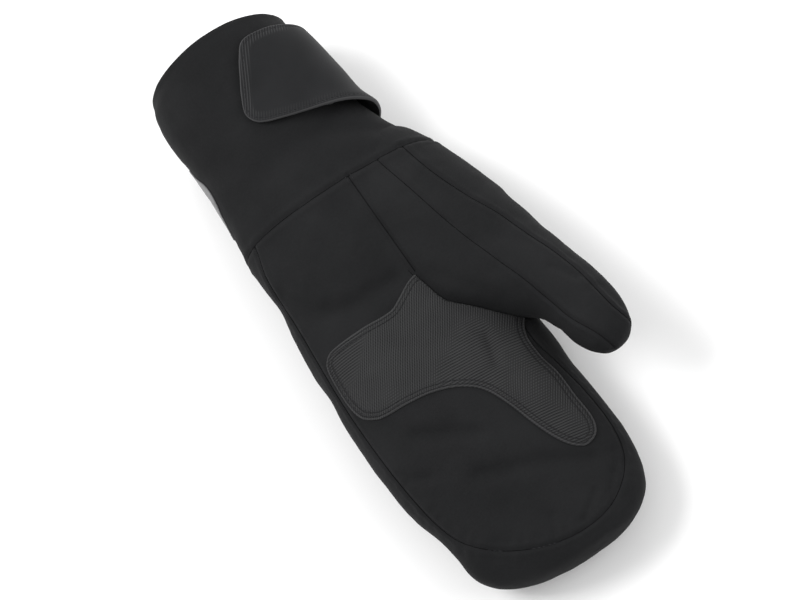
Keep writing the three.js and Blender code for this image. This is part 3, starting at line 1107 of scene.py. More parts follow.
class Nodes:
    """Short ways to add and link a material's nodes."""

    def __init__(self, name: str) -> None:
        """Start a material with an empty surface shader."""
        self.material = bpy.data.materials.new(name)
        self.material.use_nodes = True
        self.tree = self.material.node_tree
        self.shader = self.tree.nodes["Principled BSDF"]

    def add(self, kind: str, inputs: dict | None = None, **settings: object) -> bpy.types.Node:
        """Add a node.

        Args:
            kind: Blender's name of the node type.
            inputs: Values or sockets by the input's name or number.
            settings: Properties of the node.

        Returns:
            The node.
        """
        node = self.tree.nodes.new(kind)
        for key, value in settings.items():
            setattr(node, key, value)
        for key, value in (inputs or {}).items():
            if isinstance(value, bpy.types.NodeSocket):
                self.tree.links.new(value, node.inputs[key])
            else:
                node.inputs[key].default_value = value
        return node

    def math(self, operation: str, *values: object) -> bpy.types.NodeSocket:
        """Result of a Math node on numbers or sockets."""
        node = self.add("ShaderNodeMath", dict(enumerate(values)), operation=operation)
        return node.outputs[0]

    def weighed(self, *pairs: object) -> bpy.types.NodeSocket:
        """Sum of two values, each followed by the share that it is times."""
        first, first_share, second, second_share = pairs
        left = self.math("MULTIPLY", first, first_share)
        return self.math("ADD", left, self.math("MULTIPLY", second, second_share))

    def place(self) -> bpy.types.NodeSocket:
        """The object's own coordinates."""
        return self.add("ShaderNodeTexCoord").outputs["Object"]

    def stored(self, name: str, vector: bool = False) -> bpy.types.NodeSocket:
        """A value that the mesh stores on its points."""
        node = self.add("ShaderNodeAttribute", attribute_name=name)
        return node.outputs["Vector" if vector else "Fac"]

    def along(self, place: bpy.types.NodeSocket, way: Sequence[float]) -> bpy.types.NodeSocket:
        """Distance of a place along a direction."""
        node = self.add("ShaderNodeVectorMath", {0: place, 1: tuple(way)}, operation="DOT_PRODUCT")
        return node.outputs["Value"]

    def wave(self, distance: bpy.types.NodeSocket, pitch: float) -> bpy.types.NodeSocket:
        """A wave from -1 to 1 that repeats each pitch."""
        return self.math("SINE", self.math("MULTIPLY", distance, 2 * math.pi / pitch))

    def soft_step(self, value: bpy.types.NodeSocket, low: float, high: float) -> bpy.types.NodeSocket:
        """Ease a value from 0 at low to 1 at high."""
        inputs = {"Value": value, "From Min": low, "From Max": high}
        node = self.add("ShaderNodeMapRange", inputs, interpolation_type="SMOOTHSTEP")
        return node.outputs["Result"]

    def noise(self, place: bpy.types.NodeSocket, scale: float, detail: float = 3.0) -> bpy.types.NodeSocket:
        """Noise from 0 to 1, with about that many features a metre."""
        node = self.add("ShaderNodeTexNoise", {"Vector": place, "Scale": scale, "Detail": detail})
        return node.outputs["Fac"]

    def ramp(self, value: bpy.types.NodeSocket,
             stops: Sequence[tuple[float, Sequence[float]]]) -> bpy.types.NodeSocket:
        """Colour by value.

        Args:
            value: The value that picks the colour.
            stops: Positions and colours, at least two.

        Returns:
            The colour socket.
        """
        node = self.add("ShaderNodeValToRGB", {"Fac": value})
        elements = node.color_ramp.elements
        while len(elements) < len(stops):
            elements.new(0.5)
        for element, (position, colour) in zip(elements, stops):
            element.position = position
            element.color = (*colour, 1.0)
        return node.outputs["Color"]

    def mix(self, share: object, first: object, second: object) -> bpy.types.NodeSocket:
        """Mix of two colours."""
        node = self.add("ShaderNodeMix", data_type="RGBA")
        for key, value in ((0, share), (6, first), (7, second)):
            if isinstance(value, bpy.types.NodeSocket):
                self.tree.links.new(value, node.inputs[key])
            elif isinstance(value, (int, float)):
                node.inputs[key].default_value = value
            else:
                node.inputs[key].default_value = (*value, 1.0)
        return node.outputs[2]

    def surface(self, colour: bpy.types.NodeSocket, rough: object, height: bpy.types.NodeSocket,
                depth: float, **fixed: float) -> bpy.types.Material:
        """Link the shader.

        Args:
            colour: Colour socket.
            rough: Roughness, as a number or a socket.
            height: Height of the fine relief, from 0 to 1.
            depth: Depth of that relief in metres.
            fixed: Other shader inputs, by name with spaces as underscores.

        Returns:
            The material.
        """
        self.tree.links.new(colour, self.shader.inputs["Base Color"])
        if isinstance(rough, bpy.types.NodeSocket):
            self.tree.links.new(rough, self.shader.inputs["Roughness"])
        else:
            self.shader.inputs["Roughness"].default_value = rough
        bump = self.add("ShaderNodeBump", {"Height": height, "Distance": depth, "Strength": 1.0})
        self.tree.links.new(bump.outputs["Normal"], self.shader.inputs["Normal"])
        for name, value in fixed.items():
            self.shader.inputs[name.replace("_", " ")].default_value = value
        return self.material


@dataclass(frozen=True)
class ShellCloth:
    """Matte black softshell: a very fine plain weave, slightly uneven and rubbed."""

    dark: Tone = (0.0068, 0.0070, 0.0075)
    light: Tone = (0.0124, 0.0126, 0.0133)
    roughness: float = 0.84
    rubbed: float = 0.12
    pitch: float = 0.0009
    thread_ways: tuple[Way, Way] = ((0.707, 0.707, 0.35), (0.707, -0.707, 0.35))

    def material(self, name: str) -> bpy.types.Material:
        """The finish.

        Args:
            name: Name of the material.

        Returns:
            The material.
        """
        n = Nodes(name)
        place = n.place()
        cloudy = n.noise(place, 24.0, 5.0)
        speckle = n.noise(place, 900.0, 2.0)
        shade = n.weighed(cloudy, 0.75, speckle, 0.25)
        colour = n.ramp(shade, [(0.32, self.dark), (0.68, self.light)])
        threads = n.math("MULTIPLY", *(n.wave(n.along(place, way), self.pitch) for way in self.thread_ways))
        height = n.weighed(threads, 0.35, speckle, 0.9)
        rough = n.math("ADD", n.math("MULTIPLY", cloudy, self.rubbed), self.roughness - self.rubbed / 2)
        return n.surface(
            colour, rough, height, 0.00008, Sheen_Weight=0.012, Sheen_Roughness=0.4,
            Specular_IOR_Level=0.12,
        )


@dataclass(frozen=True)
class GripWeave:
    """Charcoal twill, with a painted highlight along its rolled edge and dark stitch lines: the thread's
    line, with painted shade in the sunken grooves.
    """

    dark: Tone = (0.0060, 0.0060, 0.0064)
    light: Tone = (0.0340, 0.0344, 0.0351)
    # Pale colour of the painted highlight along the rolled edge
    rim: Tone = (0.0420, 0.0420, 0.0430)
    # Dark colour of the stitch rows: the thread's line, with painted shade in the sunken grooves
    stitch: Tone = (0.0035, 0.0035, 0.0038)
    steep_way: Way = (0.84, -0.54, 0.0)
    slant_way: Way = (0.10, 0.99, 0.0)
    pitch: float = 1.22
    slant_pitch: float = 1.45
    highlight_rim_width: float = 1.0
    stitch_rows: tuple[float, float] = (1.5, 3.6)

    def material(self, name: str) -> bpy.types.Material:
        """The finish.

        Args:
            name: Name of the material.

        Returns:
            The material.
        """
        n = Nodes(name)
        laid = n.stored("flat_place", vector=True)
        cloudy = n.noise(n.place(), 60.0, 4.0)
        wander = n.math("MULTIPLY", n.math("SUBTRACT", cloudy, 0.5), 1.2)
        steep = n.wave(n.math("ADD", n.along(laid, self.steep_way), wander), self.pitch)
        slant = n.wave(n.math("ADD", n.along(laid, self.slant_way), wander), self.slant_pitch)
        share = n.soft_step(n.noise(n.place(), 22.0, 1.0), 0.44, 0.56)
        twill = n.weighed(steep, n.math("SUBTRACT", 1.0, share), slant, share)
        weave = n.math("ADD", n.weighed(twill, 0.30, n.math("MULTIPLY", steep, slant), 0.14), 0.5)
        shade = n.weighed(weave, 0.78, cloudy, 0.22)
        colour = n.ramp(shade, [(0.2, self.dark), (0.8, self.light)])
        edge = n.stored("edge_distance")
        # Painted highlight: the outer millimetre of the rolled edge is mixed half way to the pale colour
        rim = n.math("LESS_THAN", edge, self.highlight_rim_width)
        colour = n.mix(n.math("MULTIPLY", rim, 0.5), colour, self.rim)
        # Dark lines along the stitch rows: the dark thread's own line, and painted shade in the sunken
        # grooves
        for row in self.stitch_rows:
            away = n.math("ABSOLUTE", n.math("SUBTRACT", edge, row))
            line = n.math("SUBTRACT", 1.0, n.soft_step(away, 0.15, 0.5))
            colour = n.mix(n.math("MULTIPLY", line, 0.6), colour, self.stitch)
        return n.surface(
            colour, 0.66, weave, 0.00025, Sheen_Weight=0.01, Sheen_Roughness=0.4,
            Specular_IOR_Level=0.12,
        )


@dataclass(frozen=True)
class CoatedStrap:
    """Smooth coated strap with fine ribs along its tab's border, their crests lightened as painted
    highlights, and a painted highlight along the rolled edge.
    """

    dark: Tone = (0.0086, 0.0089, 0.0097)
    light: Tone = (0.0126, 0.0129, 0.0139)
    # Pale colour of the painted highlights on the rolled edge and on the rib crests
    edge: Tone = (0.0800, 0.0800, 0.0820)
    rib_way: Way = (0.84, -0.54, 0.0)
    rib_pitch: float = 1.35
    rib_start: float = 0.9
    rib_end: float = 6.2

    def material(self, name: str) -> bpy.types.Material:
        """The finish.

        Args:
            name: Name of the material.

        Returns:
            The material.
        """
        n = Nodes(name)
        place = n.place()
        cloudy = n.noise(place, 40.0, 4.0)
        grain = n.noise(place, 1600.0, 2.0)
        away = n.stored("edge_distance")
        begun = n.soft_step(away, self.rib_start - 0.3, self.rib_start)
        ended = n.soft_step(away, self.rib_end - 2.0, self.rib_end)
        border = n.math("MULTIPLY", begun, n.stored("tab_share"))
        border = n.math("MULTIPLY", border, n.math("SUBTRACT", 1.0, ended))
        wave = n.wave(n.along(n.stored("flat_place", vector=True), self.rib_way), self.rib_pitch)
        ribs = n.math("MULTIPLY", wave, border)
        colour = n.ramp(cloudy, [(0.3, self.dark), (0.7, self.light)])
        # Painted highlight: the raised crests of the ribs are lightened towards the pale colour
        colour = n.mix(n.math("MULTIPLY", n.math("MAXIMUM", ribs, 0.0), 0.3), colour, self.edge)
        # Painted highlight along the rolled edge, fading out between 0.3 and 0.75 mm from it
        rim = n.math("SUBTRACT", 1.0, n.soft_step(away, 0.3, 0.75))
        colour = n.mix(n.math("MULTIPLY", rim, 0.6), colour, self.edge)
        height = n.weighed(ribs, 0.5, grain, 0.35)
        return n.surface(
            colour, 0.6, height, 0.00015, Sheen_Weight=0.01, Sheen_Roughness=0.4,
            Specular_IOR_Level=0.12,
        )


@dataclass(frozen=True)
class ReflectiveTape:
    """Grey reflective tape: satin, with a fine cell pattern and dull scuffs."""

    dark: Tone = (0.082, 0.082, 0.084)
    light: Tone = (0.150, 0.150, 0.153)
    pitch: float = 0.0011
    cell_ways: tuple[Way, Way] = ((0.0, 0.8, 0.6), (0.0, 0.8, -0.6))

    def material(self, name: str) -> bpy.types.Material:
        """The finish.

        Args:
            name: Name of the material.

        Returns:
            The material.
        """
        n = Nodes(name)
        place = n.place()
        cells = n.math("MULTIPLY", *(n.wave(n.along(place, way), self.pitch) for way in self.cell_ways))
        scuffs = n.noise(place, 130.0, 5.0)
        shade = n.math("ADD", n.math("MULTIPLY", cells, 0.12), scuffs)
        colour = n.ramp(shade, [(0.3, self.dark), (0.7, self.light)])
        return n.surface(colour, 0.42, shade, 0.00006, Metallic=0.25, Specular_IOR_Level=0.5)


@dataclass(frozen=True)
class PlainThread:
    """Twisted polyester sewing thread."""

    dark: Tone = (0.006, 0.006, 0.007)
    light: Tone = (0.022, 0.022, 0.024)
    pitch: float = 0.0007
    twist_way: Way = (0.6, 0.6, 0.5)

    def material(self, name: str) -> bpy.types.Material:
        """The finish.

        Args:
            name: Name of the material.

        Returns:
            The material.
        """
        n = Nodes(name)
        place = n.place()
        twist = n.wave(n.along(place, self.twist_way), self.pitch)
        shade = n.math("ADD", n.math("MULTIPLY", twist, 0.3), 0.5)
        colour = n.ramp(shade, [(0.2, self.dark), (0.8, self.light)])
        return n.surface(colour, 0.6, shade, 0.00005, Specular_IOR_Level=0.15)


@dataclass(frozen=True)
class FastenerPile:
    """Dense black loop pile."""

    dark: Tone = (0.008, 0.008, 0.009)
    light: Tone = (0.022, 0.022, 0.024)

    def material(self, name: str) -> bpy.types.Material:
        """The finish.

        Args:
            name: Name of the material.

        Returns:
            The material.
        """
        n = Nodes(name)
        loops = n.noise(n.place(), 1500.0, 4.0)
        colour = n.ramp(loops, [(0.35, self.dark), (0.65, self.light)])
        return n.surface(colour, 0.95, loops, 0.0004, Sheen_Weight=0.1, Sheen_Roughness=0.6)


def finish_piece(piece: bpy.types.Object, node: str | None, material: bpy.types.Material) -> None:
    """Dress a piece, fix it to the frame and report it.

    Args:
        piece: The piece.
        node: The frame's node that it stands for, or None.
        material: Its material.
    """
    piece.data.materials.clear()
    piece.data.materials.append(material)
    piece.data.polygons.foreach_set("use_smooth", [True] * len(piece.data.polygons))
    piece.data.set_sharp_from_angle(angle=SHARP_ANGLE)
    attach(piece, BODY)
    if node:
        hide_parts(node)
    triangles = sum(len(p.vertices) - 2 for p in piece.data.polygons)
    log.info("%s: %d triangles", piece.name, triangles)


@dataclass
class Shell:
    """The sewn cloth: gauntlet, palm, back and the thumb's three panels."""

    form: Form
    fine: tuple[int, int] = (400, 320)
    thumb_fine: tuple[int, int] = (190, 190)
    inner: tuple[int, int] = (140, 120)
    thumb_inner: tuple[int, int] = (70, 64)
    clearance: float = 0.3
    palm_seam_from: float = 68.0
    thumb_seam_from: float = 66.0
    thumb_seam_to: float = -101.0
    hand_surface: Surface = field(init=False)
    outer_surface: Surface = field(init=False)

    def find_seams(self) -> None:
        """Lay the seam lines on the smooth form, so that the cloth can pucker beside them."""
        form, seams = self.form, self.form.seams
        hand = form.tube("hand_draft", False, (150, 120), 0.0)
        thumb = form.tube("thumb_draft", True, (80, 72), 0.0)
        both = Surface(hand, thumb)
        palm = smooth_line(seams.palm_edge[1:20], SEAM_STEP)
        palm = palm[palm[:, 1] < self.palm_seam_from]
        root = smooth_line(seams.thumb_root, SEAM_STEP)
        lines = [palm, root[root[:, 1] < self.thumb_seam_from]]
        for line in (seams.thumb_inner, seams.thumb_outer):
            track = smooth_line(line, SEAM_STEP)
            lines.append(track[(track[:, 1] < self.thumb_seam_from) & (track[:, 1] > self.thumb_seam_to)])
        form.seam_lines = [both.drop(line) for line in lines]
        back = smooth_line(seams.thumb_back, SEAM_STEP)
        form.seam_lines.append(both.drop(back[back[:, 1] < self.thumb_seam_from], upward=True))
        discard(hand, thumb)

    def thumb_block(self, grow: float) -> bpy.types.Object:
        """The part of space that holds the thumb's panels.

        Args:
            grow: How far it stands outside the thumb.

        Returns:
            A closed working object.
        """
        seams = self.form.seams
        end = seams.thumb_root[-1][1]
        palm_side = block(np.array([*seams.thumb_root, (FAR, end), (FAR, THUMB_START_Y)]), MID_HEIGHT, FAR)
        back = smooth_line(seams.thumb_back, 4.0)
        back_side = block(np.vstack([back, (FAR, back[-1, 1]), (FAR, THUMB_START_Y)]), -FAR, MID_HEIGHT)
        thumb = self.form.tube("thumb_grown", True, self.thumb_fine, grow)
        beyond = np.array([(-FAR, THUMB_FREE_Y), (-FAR, -FAR), (FAR, -FAR), (FAR, THUMB_FREE_Y)])
        reach = block(beyond, -FAR, FAR)
        free = combined("free", thumb, Cut.KEEP, reach)
        both = combined("both", palm_side, Cut.JOIN, back_side)
        whole = combined("thumb_block", both, Cut.JOIN, free)
        discard(palm_side, back_side, thumb, reach, free, both)
        return whole

    def cloth(self) -> bpy.types.Object:
        """The whole shell as one hollow body, before it is cut into panels."""
        form = self.form
        made = []
        sides = ((self.fine, self.thumb_fine, 0.0), (self.inner, self.thumb_inner, -form.wall))
        for size, thumb_size, grow in sides:
            hand = form.tube("hand", False, size, grow)
            thumb = form.tube("thumb", True, thumb_size, grow)
            made.append(combined("tube", hand, Cut.JOIN, thumb))
            if grow == 0.0:
                self.hand_surface = Surface(hand)
                self.outer_surface = Surface(hand, thumb)
            discard(hand, thumb)
        shell = combined("shell", made[0], Cut.TAKE, made[1])
        discard(*made)
        return shell

    def side_block(self, shift: float) -> bpy.types.Object:
        """Everything above a line half way up the thumb's side.

        Args:
            shift: How far the line is raised.

        Returns:
            A closed working object.
        """
        side = [(row[1], row[2] - SIDE_DROP + shift) for row in self.form.thumb_table]
        outline = np.array([*side, (-FAR, side[-1][1]), (-FAR, FAR), (THUMB_START_Y, FAR)])
        piece = block(outline, -FAR, FAR)
        turned = points_of(piece)[:, [2, 0, 1]]
        piece.data.vertices.foreach_set("co", (turned * MM).ravel())
        piece.data.update()
        return piece

    def build(self, dress: Callable[[str], bpy.types.Material]) -> None:
        """Make, cut and dress all the panels.

        Args:
            dress: Gives the cloth's material by name.
        """
        self.find_seams()
        form, seams = self.form, self.form.seams
        shell = self.cloth()
        edges = {x: seams.wrist_y(x) for x in (-FAR, FAR)}
        half = seams.gap / 2
        cuff = block(np.array([
            (-FAR, edges[-FAR] + half), (FAR, edges[FAR] + half), (FAR, form.hem_y), (-FAR, form.hem_y),
        ]), -FAR, FAR)
        beyond = block(np.array([
            (-FAR, edges[-FAR] - half), (-FAR, -2 * FAR), (FAR, -2 * FAR), (FAR, edges[FAR] - half),
        ]), -FAR, FAR)
        panels = {"gauntlet": combined("gauntlet_cloth", shell, Cut.KEEP, cuff)}
        mitt = combined("mitt", shell, Cut.KEEP, beyond)
        discard(shell, cuff, beyond)
        palm_line = smooth_line(seams.palm_edge, 1.6)
        root_line = smooth_line(seams.thumb_root, 4.0)
        back_line = smooth_line(seams.thumb_back, 4.0)
        root_cut = blade(root_line, seams.gap, MID_HEIGHT, FAR)
        back_cut = blade(back_line, seams.gap, -FAR, MID_HEIGHT)
        palm_cut = blade(palm_line, seams.gap, PALM_LOW, FAR)
        near = self.thumb_block(self.clearance)
        clear = self.thumb_block(self.clearance + seams.gap)
        thumb = combined("thumb_all", mitt, Cut.KEEP, near)
        hand = combined("hand_all", mitt, Cut.TAKE, clear)
        thumb = opened(thumb, root_cut, back_cut)
        hand = opened(hand, root_cut, back_cut, palm_cut)
        palm_block = block(palm_line, PALM_LOW, FAR)
        panels["palm_panel"] = combined("palm_cloth", hand, Cut.KEEP, palm_block)
        panels["back_panel"] = combined("back_cloth", hand, Cut.TAKE, palm_block)
        discard(mitt, root_cut, back_cut, palm_cut, near, clear, hand, palm_block)
        panels.update(self.thumb_panels(thumb))
        material = dress("softshell_black")
        for node, piece in panels.items():
            largest_body(piece)
            finish_piece(piece, node, material)

    def thumb_panels(self, thumb: bpy.types.Object) -> dict[str, bpy.types.Object]:
        """Cut the thumb's cloth along its two long seams and down its inner side.

        Args:
            thumb: The thumb's cloth in one piece, which is used up.

        Returns:
            The three panels, by node.
        """
        seams = self.form.seams
        inner = smooth_line(seams.thumb_inner, 2.0)
        outer = smooth_line(seams.thumb_outer, 2.0)
        upper, raised = self.side_block(0.0), self.side_block(seams.gap)
        for line in (inner, outer):
            cut = blade(line, seams.gap, -FAR, FAR)
            top_cut = combined("top_cut", cut, Cut.KEEP, upper)
            thumb = opened(thumb, top_cut)
            discard(cut, top_cut)
        left_of_inner = block(np.vstack([inner, (-FAR, inner[-1, 1]), (-FAR, THUMB_START_Y)]), -FAR, FAR)
        left_of_outer = block(np.vstack([outer, (-FAR, outer[-1, 1]), (-FAR, THUMB_START_Y)]), -FAR, FAR)
        top = combined("top", thumb, Cut.KEEP, raised)
        top_left = combined("top_left", top, Cut.KEEP, left_of_outer)
        inner_panel = combined("thumb_inner_cloth", top_left, Cut.KEEP, left_of_inner)
        front_panel = combined("thumb_front_cloth", top_left, Cut.TAKE, left_of_inner)
        taken = combined("taken", left_of_outer, Cut.KEEP, upper)
        outer_panel = combined("thumb_outer_cloth", thumb, Cut.TAKE, taken)
        discard(upper, raised, left_of_inner, left_of_outer, top, top_left, taken, thumb)
        return {
            "thumb_inner_panel": inner_panel,
            "thumb_front_panel": front_panel,
            "thumb_outer_panel": outer_panel,
        }


@dataclass
class GripPatch:
    """The woven patch on the palm and the index side, with a twin-stitched edge."""

    shell: Shell
    thickness: float = 1.05
    thumb_gap: float = 0.5
    stitch_rows: tuple[float, float] = (1.5, 3.6)
    outline: tuple = (
        (21, -2.6), (16.4, -2.2), (11.6, -3.6), (4, -8), (-4, -11.4), (-22, -9.8), (-36, -8.6), (-44, -8.8),
        (-48.4, -13), (-50.2, -25), (-50.4, -39), (-48, -48.4), (-42, -54.6), (-36, -57), (-24, -58.8),
        (-11, -61.6), (2, -67), (12, -75.6), (18.4, -89.6), (24.4, -109), (31, -123.4), (38.6, -129.6),
        (46.4, -127.2), (50, -119), (49.4, -103), (49, -88), (46.6, -75), (47.4, -60), (56, -44),
        (60, -20), (40, -6),
    )

    def build(self, weave: bpy.types.Material, thread: bpy.types.Material) -> None:
        """Make and dress the patch and its stitches.

        Args:
            weave: The patch's material.
            thread: The stitches' material.
        """
        line = smooth_line(self.outline, 0.75, closed=True)
        sheet = Sheet(
            "grip_patch_weave", line, self.thickness, edge_roll=1.1, spacing=0.85, seat=0.2,
            grooves=self.stitch_rows,
        )
        laid = sheet.build(self.shell.hand_surface.cover)
        thumb = self.shell.form.tube("thumb_grown", True, self.shell.thumb_fine, self.thumb_gap)
        patch = combined("grip_patch_weave", laid, Cut.TAKE, thumb)
        discard(laid)
        rows = []
        outline = anticlockwise(line)
        inward = line_sides(outline, closed=True)
        clear = Surface(patch, thumb)
        top = Surface(patch)
        for depth in self.stitch_rows:
            track = outline + inward * depth
            away, _ = nearest(outline, track)
            track = track[away > 0.95 * depth]
            rows += sewn_stretches(np.vstack([track, track[:1]]), top, clear)
        discard(thumb)
        finish_piece(patch, "grip_patch", weave)
        stitches = Stitching().build("grip_patch_stitches", rows)
        finish_piece(stitches, None, thread)


@dataclass
class SeamStitches:
    """The few stitches that show in the seams: at the fingertips and by the wrist."""

    shell: Shell
    tip_spans: tuple = ((-34.0, -27.0), (-15.0, -1.0))
    tack_sides: tuple[float, float] = (-1.5, 1.5)
    tack_span: tuple[float, float] = (66.5, 61.0)

    def build(self, thread: bpy.types.Material) -> None:
        """Make and dress the stitches.

        Args:
            thread: Their material.
        """
        seams, outer = self.shell.form.seams, self.shell.outer_surface
        palm = smooth_line(seams.palm_edge, 0.6)
        rows = []
        for low, high in self.tip_spans:
            track = palm[(palm[:, 0] > low) & (palm[:, 0] < high) & (palm[:, 1] < -120)]
            rows += sewn_stretches(track, outer, outer)
        x = seams.thumb_root[0][0]
        for side in self.tack_sides:
            run = np.linspace(*self.tack_span, 20)
            rows += sewn_stretches(np.c_[np.full(20, x + side), run], outer, outer)
        stitches = Stitching(length=2.2, pitch=2.8, radius=0.24, sunk=0.1).build("seam_stitches", rows)
        finish_piece(stitches, None, thread)


@dataclass
class SideFlash:
    """The reflective strip on the gauntlet's little-finger side."""

    shell: Shell
    start: float = 136.0
    end: float = 86.0
    height: float = 30.0
    half: float = 13.5
    thickness: float = 0.5

    def build(self, tape: bpy.types.Material) -> None:
        """Make and dress the strip.

        Args:
            tape: Its material.
        """
        along = np.linspace(0, 1, 60)
        y = self.start + (self.end - self.start) * along
        bow = self.half * np.sin(math.pi * along)
        low = np.c_[-y, self.height - bow]
        high = np.c_[-y, self.height + bow]
        outline = even_steps(np.vstack([low, high[-2:0:-1]]), 0.7)
        surface = self.shell.hand_surface

        def place(flat: np.ndarray) -> np.ndarray:
            """Lay points of (-y, z) on the little-finger side."""
            return np.array([surface.hit((-FAR, -u, v), (1, 0, 0)) for u, v in flat])

        sheet = Sheet("side_flash_tape", outline, self.thickness, edge_roll=0.5, spacing=1.0, seat=0.15)
        piece = sheet.build(place)
        finish_piece(piece, "side_flash", tape)


def even_steps(outline: np.ndarray, step: float) -> np.ndarray:
    """Even steps round a closed outline, with its corners kept.

    Args:
        outline: Corners of the outline.
        step: Distance between the points given back.

    Returns:
        The points.
    """
    closed = np.vstack([outline, outline[:1]])
    run = np.concatenate([[0.0], np.cumsum(np.linalg.norm(np.diff(closed, axis=0), axis=1))])
    at = np.linspace(0, run[-1], int(run[-1] / step) + 1)[:-1]
    return np.stack([np.interp(at, run, closed[:, k]) for k in range(2)], axis=1)


@dataclass
class Strap:
    """The closure strap that wraps the thumb side and lands on the fastener pad."""

    shell: Shell
    thickness: float = 2.0
    lift: float = 2.6
    lift_angle: float = math.pi / 5
    lift_from: float = 60.0
    lift_most: float = 110.0
    lift_end: float = 150.0
    left: float = 0.6
    flare: float = 1.4
    flare_angle: float = 0.5
    flare_y: float = 101.0
    flare_width: float = 9.0
    seat_drop: float = 1.5
    seat_angles: tuple[float, float] = (0.45, 0.85)
    stand_off: float = 1.8
    foot_z: float = 5.0
    rib_reach: float = 58.0
    rib_fade: float = 8.0
    rib_rise: tuple[float, float] = (116.0, 126.0)
    rib_low: float = 0.3
    stitch_row: float = 2.2
    sweep: tuple[float, float, int] = (-1.2, 2.6, 800)
    rising_part: int = 300
    middle_y: float = 130.0
    middle: tuple[float, float, float] = (0.0, 0.0, 35.0)
    side_high: float = 157.0
    side_low: float = 99.0
    tab: tuple = (
        # Seen from above, from the thumb side's top edge round the tab and back
        (44, 159.6), (34, 160.6), (24, 161.2), (12.4, 159.6), (6.4, 152), (1.2, 143), (-4, 133.6),
        (-7.2, 124.6), (-3.6, 117.2), (8, 111.8), (22, 107.4), (38, 103.6), (45, 101.6),
    )
    pad: tuple = (
        (34, 150), (21, 151.6), (16.6, 146), (7, 129), (3.6, 121.4), (12, 114.6), (26, 110.4), (36, 110),
    )

    def surface(self, angle: np.ndarray, y: np.ndarray) -> np.ndarray:
        """Points of the strap's underside.

        Args:
            angle: Angle round the cuff.
            y: Place along the cuff.

        Returns:
            One point for each.
        """
        form = self.shell.form
        points = form.section(form.cuff_rows(y), angle)
        facing = np.clip(np.cos(angle - self.lift_angle), 0, 1) ** 3
        closing = 1 - (1 - self.left) * smoothstep(y, self.lift_most, self.lift_end)
        lift = self.lift * facing * (smoothstep(y, self.lift_from, self.lift_most) * closing)
        flare_facing = np.clip(np.cos(angle - self.flare_angle), 0, 1) ** 4
        lift += self.flare * rise_at(y, self.flare_y, self.flare_width) * flare_facing
        lift -= self.seat_drop * smoothstep(-angle, *self.seat_angles)
        points[:, 0] += lift * np.cos(angle)
        points[:, 2] += lift * np.sin(angle)
        return points

    def angle_at(self, x: float, y: float) -> float:
        """Angle round the cuff of a point seen from above."""
        _, left, right, _, _, full = self.shell.form.cuff_rows(y)
        share = (x - (left + right) / 2) / ((right - left) / 2)
        share = max(-1.0, min(1.0, share))
        return math.acos(math.copysign(abs(share) ** (full / 2), share))

    def build(self, coated: bpy.types.Material, thread: bpy.types.Material, pile: bpy.types.Material) -> None:
        """Make and dress the strap, its stitches and its pad.

        Args:
            coated: The strap's material.
            thread: The stitches' material.
            pile: The pad's material.
        """
        angles = np.linspace(*self.sweep)
        track = self.surface(angles, np.full(len(angles), self.middle_y))
        run = run_along(track)
        rising = slice(0, self.rising_part)
        foot = float(np.interp(self.foot_z, track[rising, 2], angles[rising]))
        start = float(np.interp(foot, angles, run))
        tab = [(float(np.interp(self.angle_at(x, y), angles, run)) - start, y) for x, y in self.tab]
        points = [(0.0, self.side_high), (12.0, self.side_high), (26.0, self.side_high + 0.6), *tab]
        points += [(26.0, self.side_low + 1.0), (12.0, self.side_low), (0.0, self.side_low)]
        outline = anticlockwise(even_steps(smooth_line(points, 0.5), 0.8) * (-1, 1))

        def place(flat: np.ndarray) -> np.ndarray:
            """Lay flat points round the cuff."""
            return self.surface(np.interp(start - flat[:, 0], run, angles), flat[:, 1])

        sheet = Sheet(
            "cuff_strap_coated", outline, self.thickness, edge_roll=0.8, spacing=1.1,
            seat=self.stand_off, grooves=(self.stitch_row,), groove_depth=0.2,
        )
        strap = sheet.build(place)
        flat = np.empty(len(strap.data.vertices) * 3, np.float32)
        strap.data.attributes["flat_place"].data.foreach_get("vector", flat)
        x, y, _ = flat.reshape(-1, 3).T
        on_tab = smoothstep(-x, self.rib_reach, self.rib_reach + self.rib_fade)
        upper = smoothstep(y, *self.rib_rise)
        store(strap, "tab_share", on_tab * (self.rib_low + (1 - self.rib_low) * upper))
        finish_piece(strap, "cuff_strap", coated)
        row = outline + line_sides(outline, closed=True) * self.stitch_row
        away, _ = nearest(outline, row)
        row = row[(away > self.stitch_row - 0.15) & (-row[:, 0] > 4)]
        breaks = np.where(np.linalg.norm(np.diff(row, axis=0), axis=1) > 4)[0]
        rows = []
        for part in np.split(row, breaks + 1):
            if len(part) < 8:
                continue
            line = place(part)
            near = place(part + np.array([-0.5, 0.0]))
            far = place(part + np.array([0.0, 0.5]))
            out = units(np.cross(near - line, far - line))
            out *= np.sign((out * (line - self.middle)).sum(axis=1))[:, None]
            rows.append((line + out * sheet.height(np.array([self.stitch_row])), out))
        stitches = Stitching(length=2.0, pitch=2.7, radius=0.22, sunk=0.04).build("cuff_strap_stitches", rows)
        finish_piece(stitches, None, thread)
        self.build_pad(pile)

    def build_pad(self, pile: bpy.types.Material) -> None:
        """Make and dress the fastener pad under the tab."""
        line = smooth_line(self.pad, 1.2, closed=True)
        sheet = Sheet("fastener_pad_pile", line, thickness=1.0, edge_roll=0.8, spacing=1.8, seat=0.2)
        piece = sheet.build(self.shell.hand_surface.cover)
        finish_piece(piece, "fastener_pad", pile)


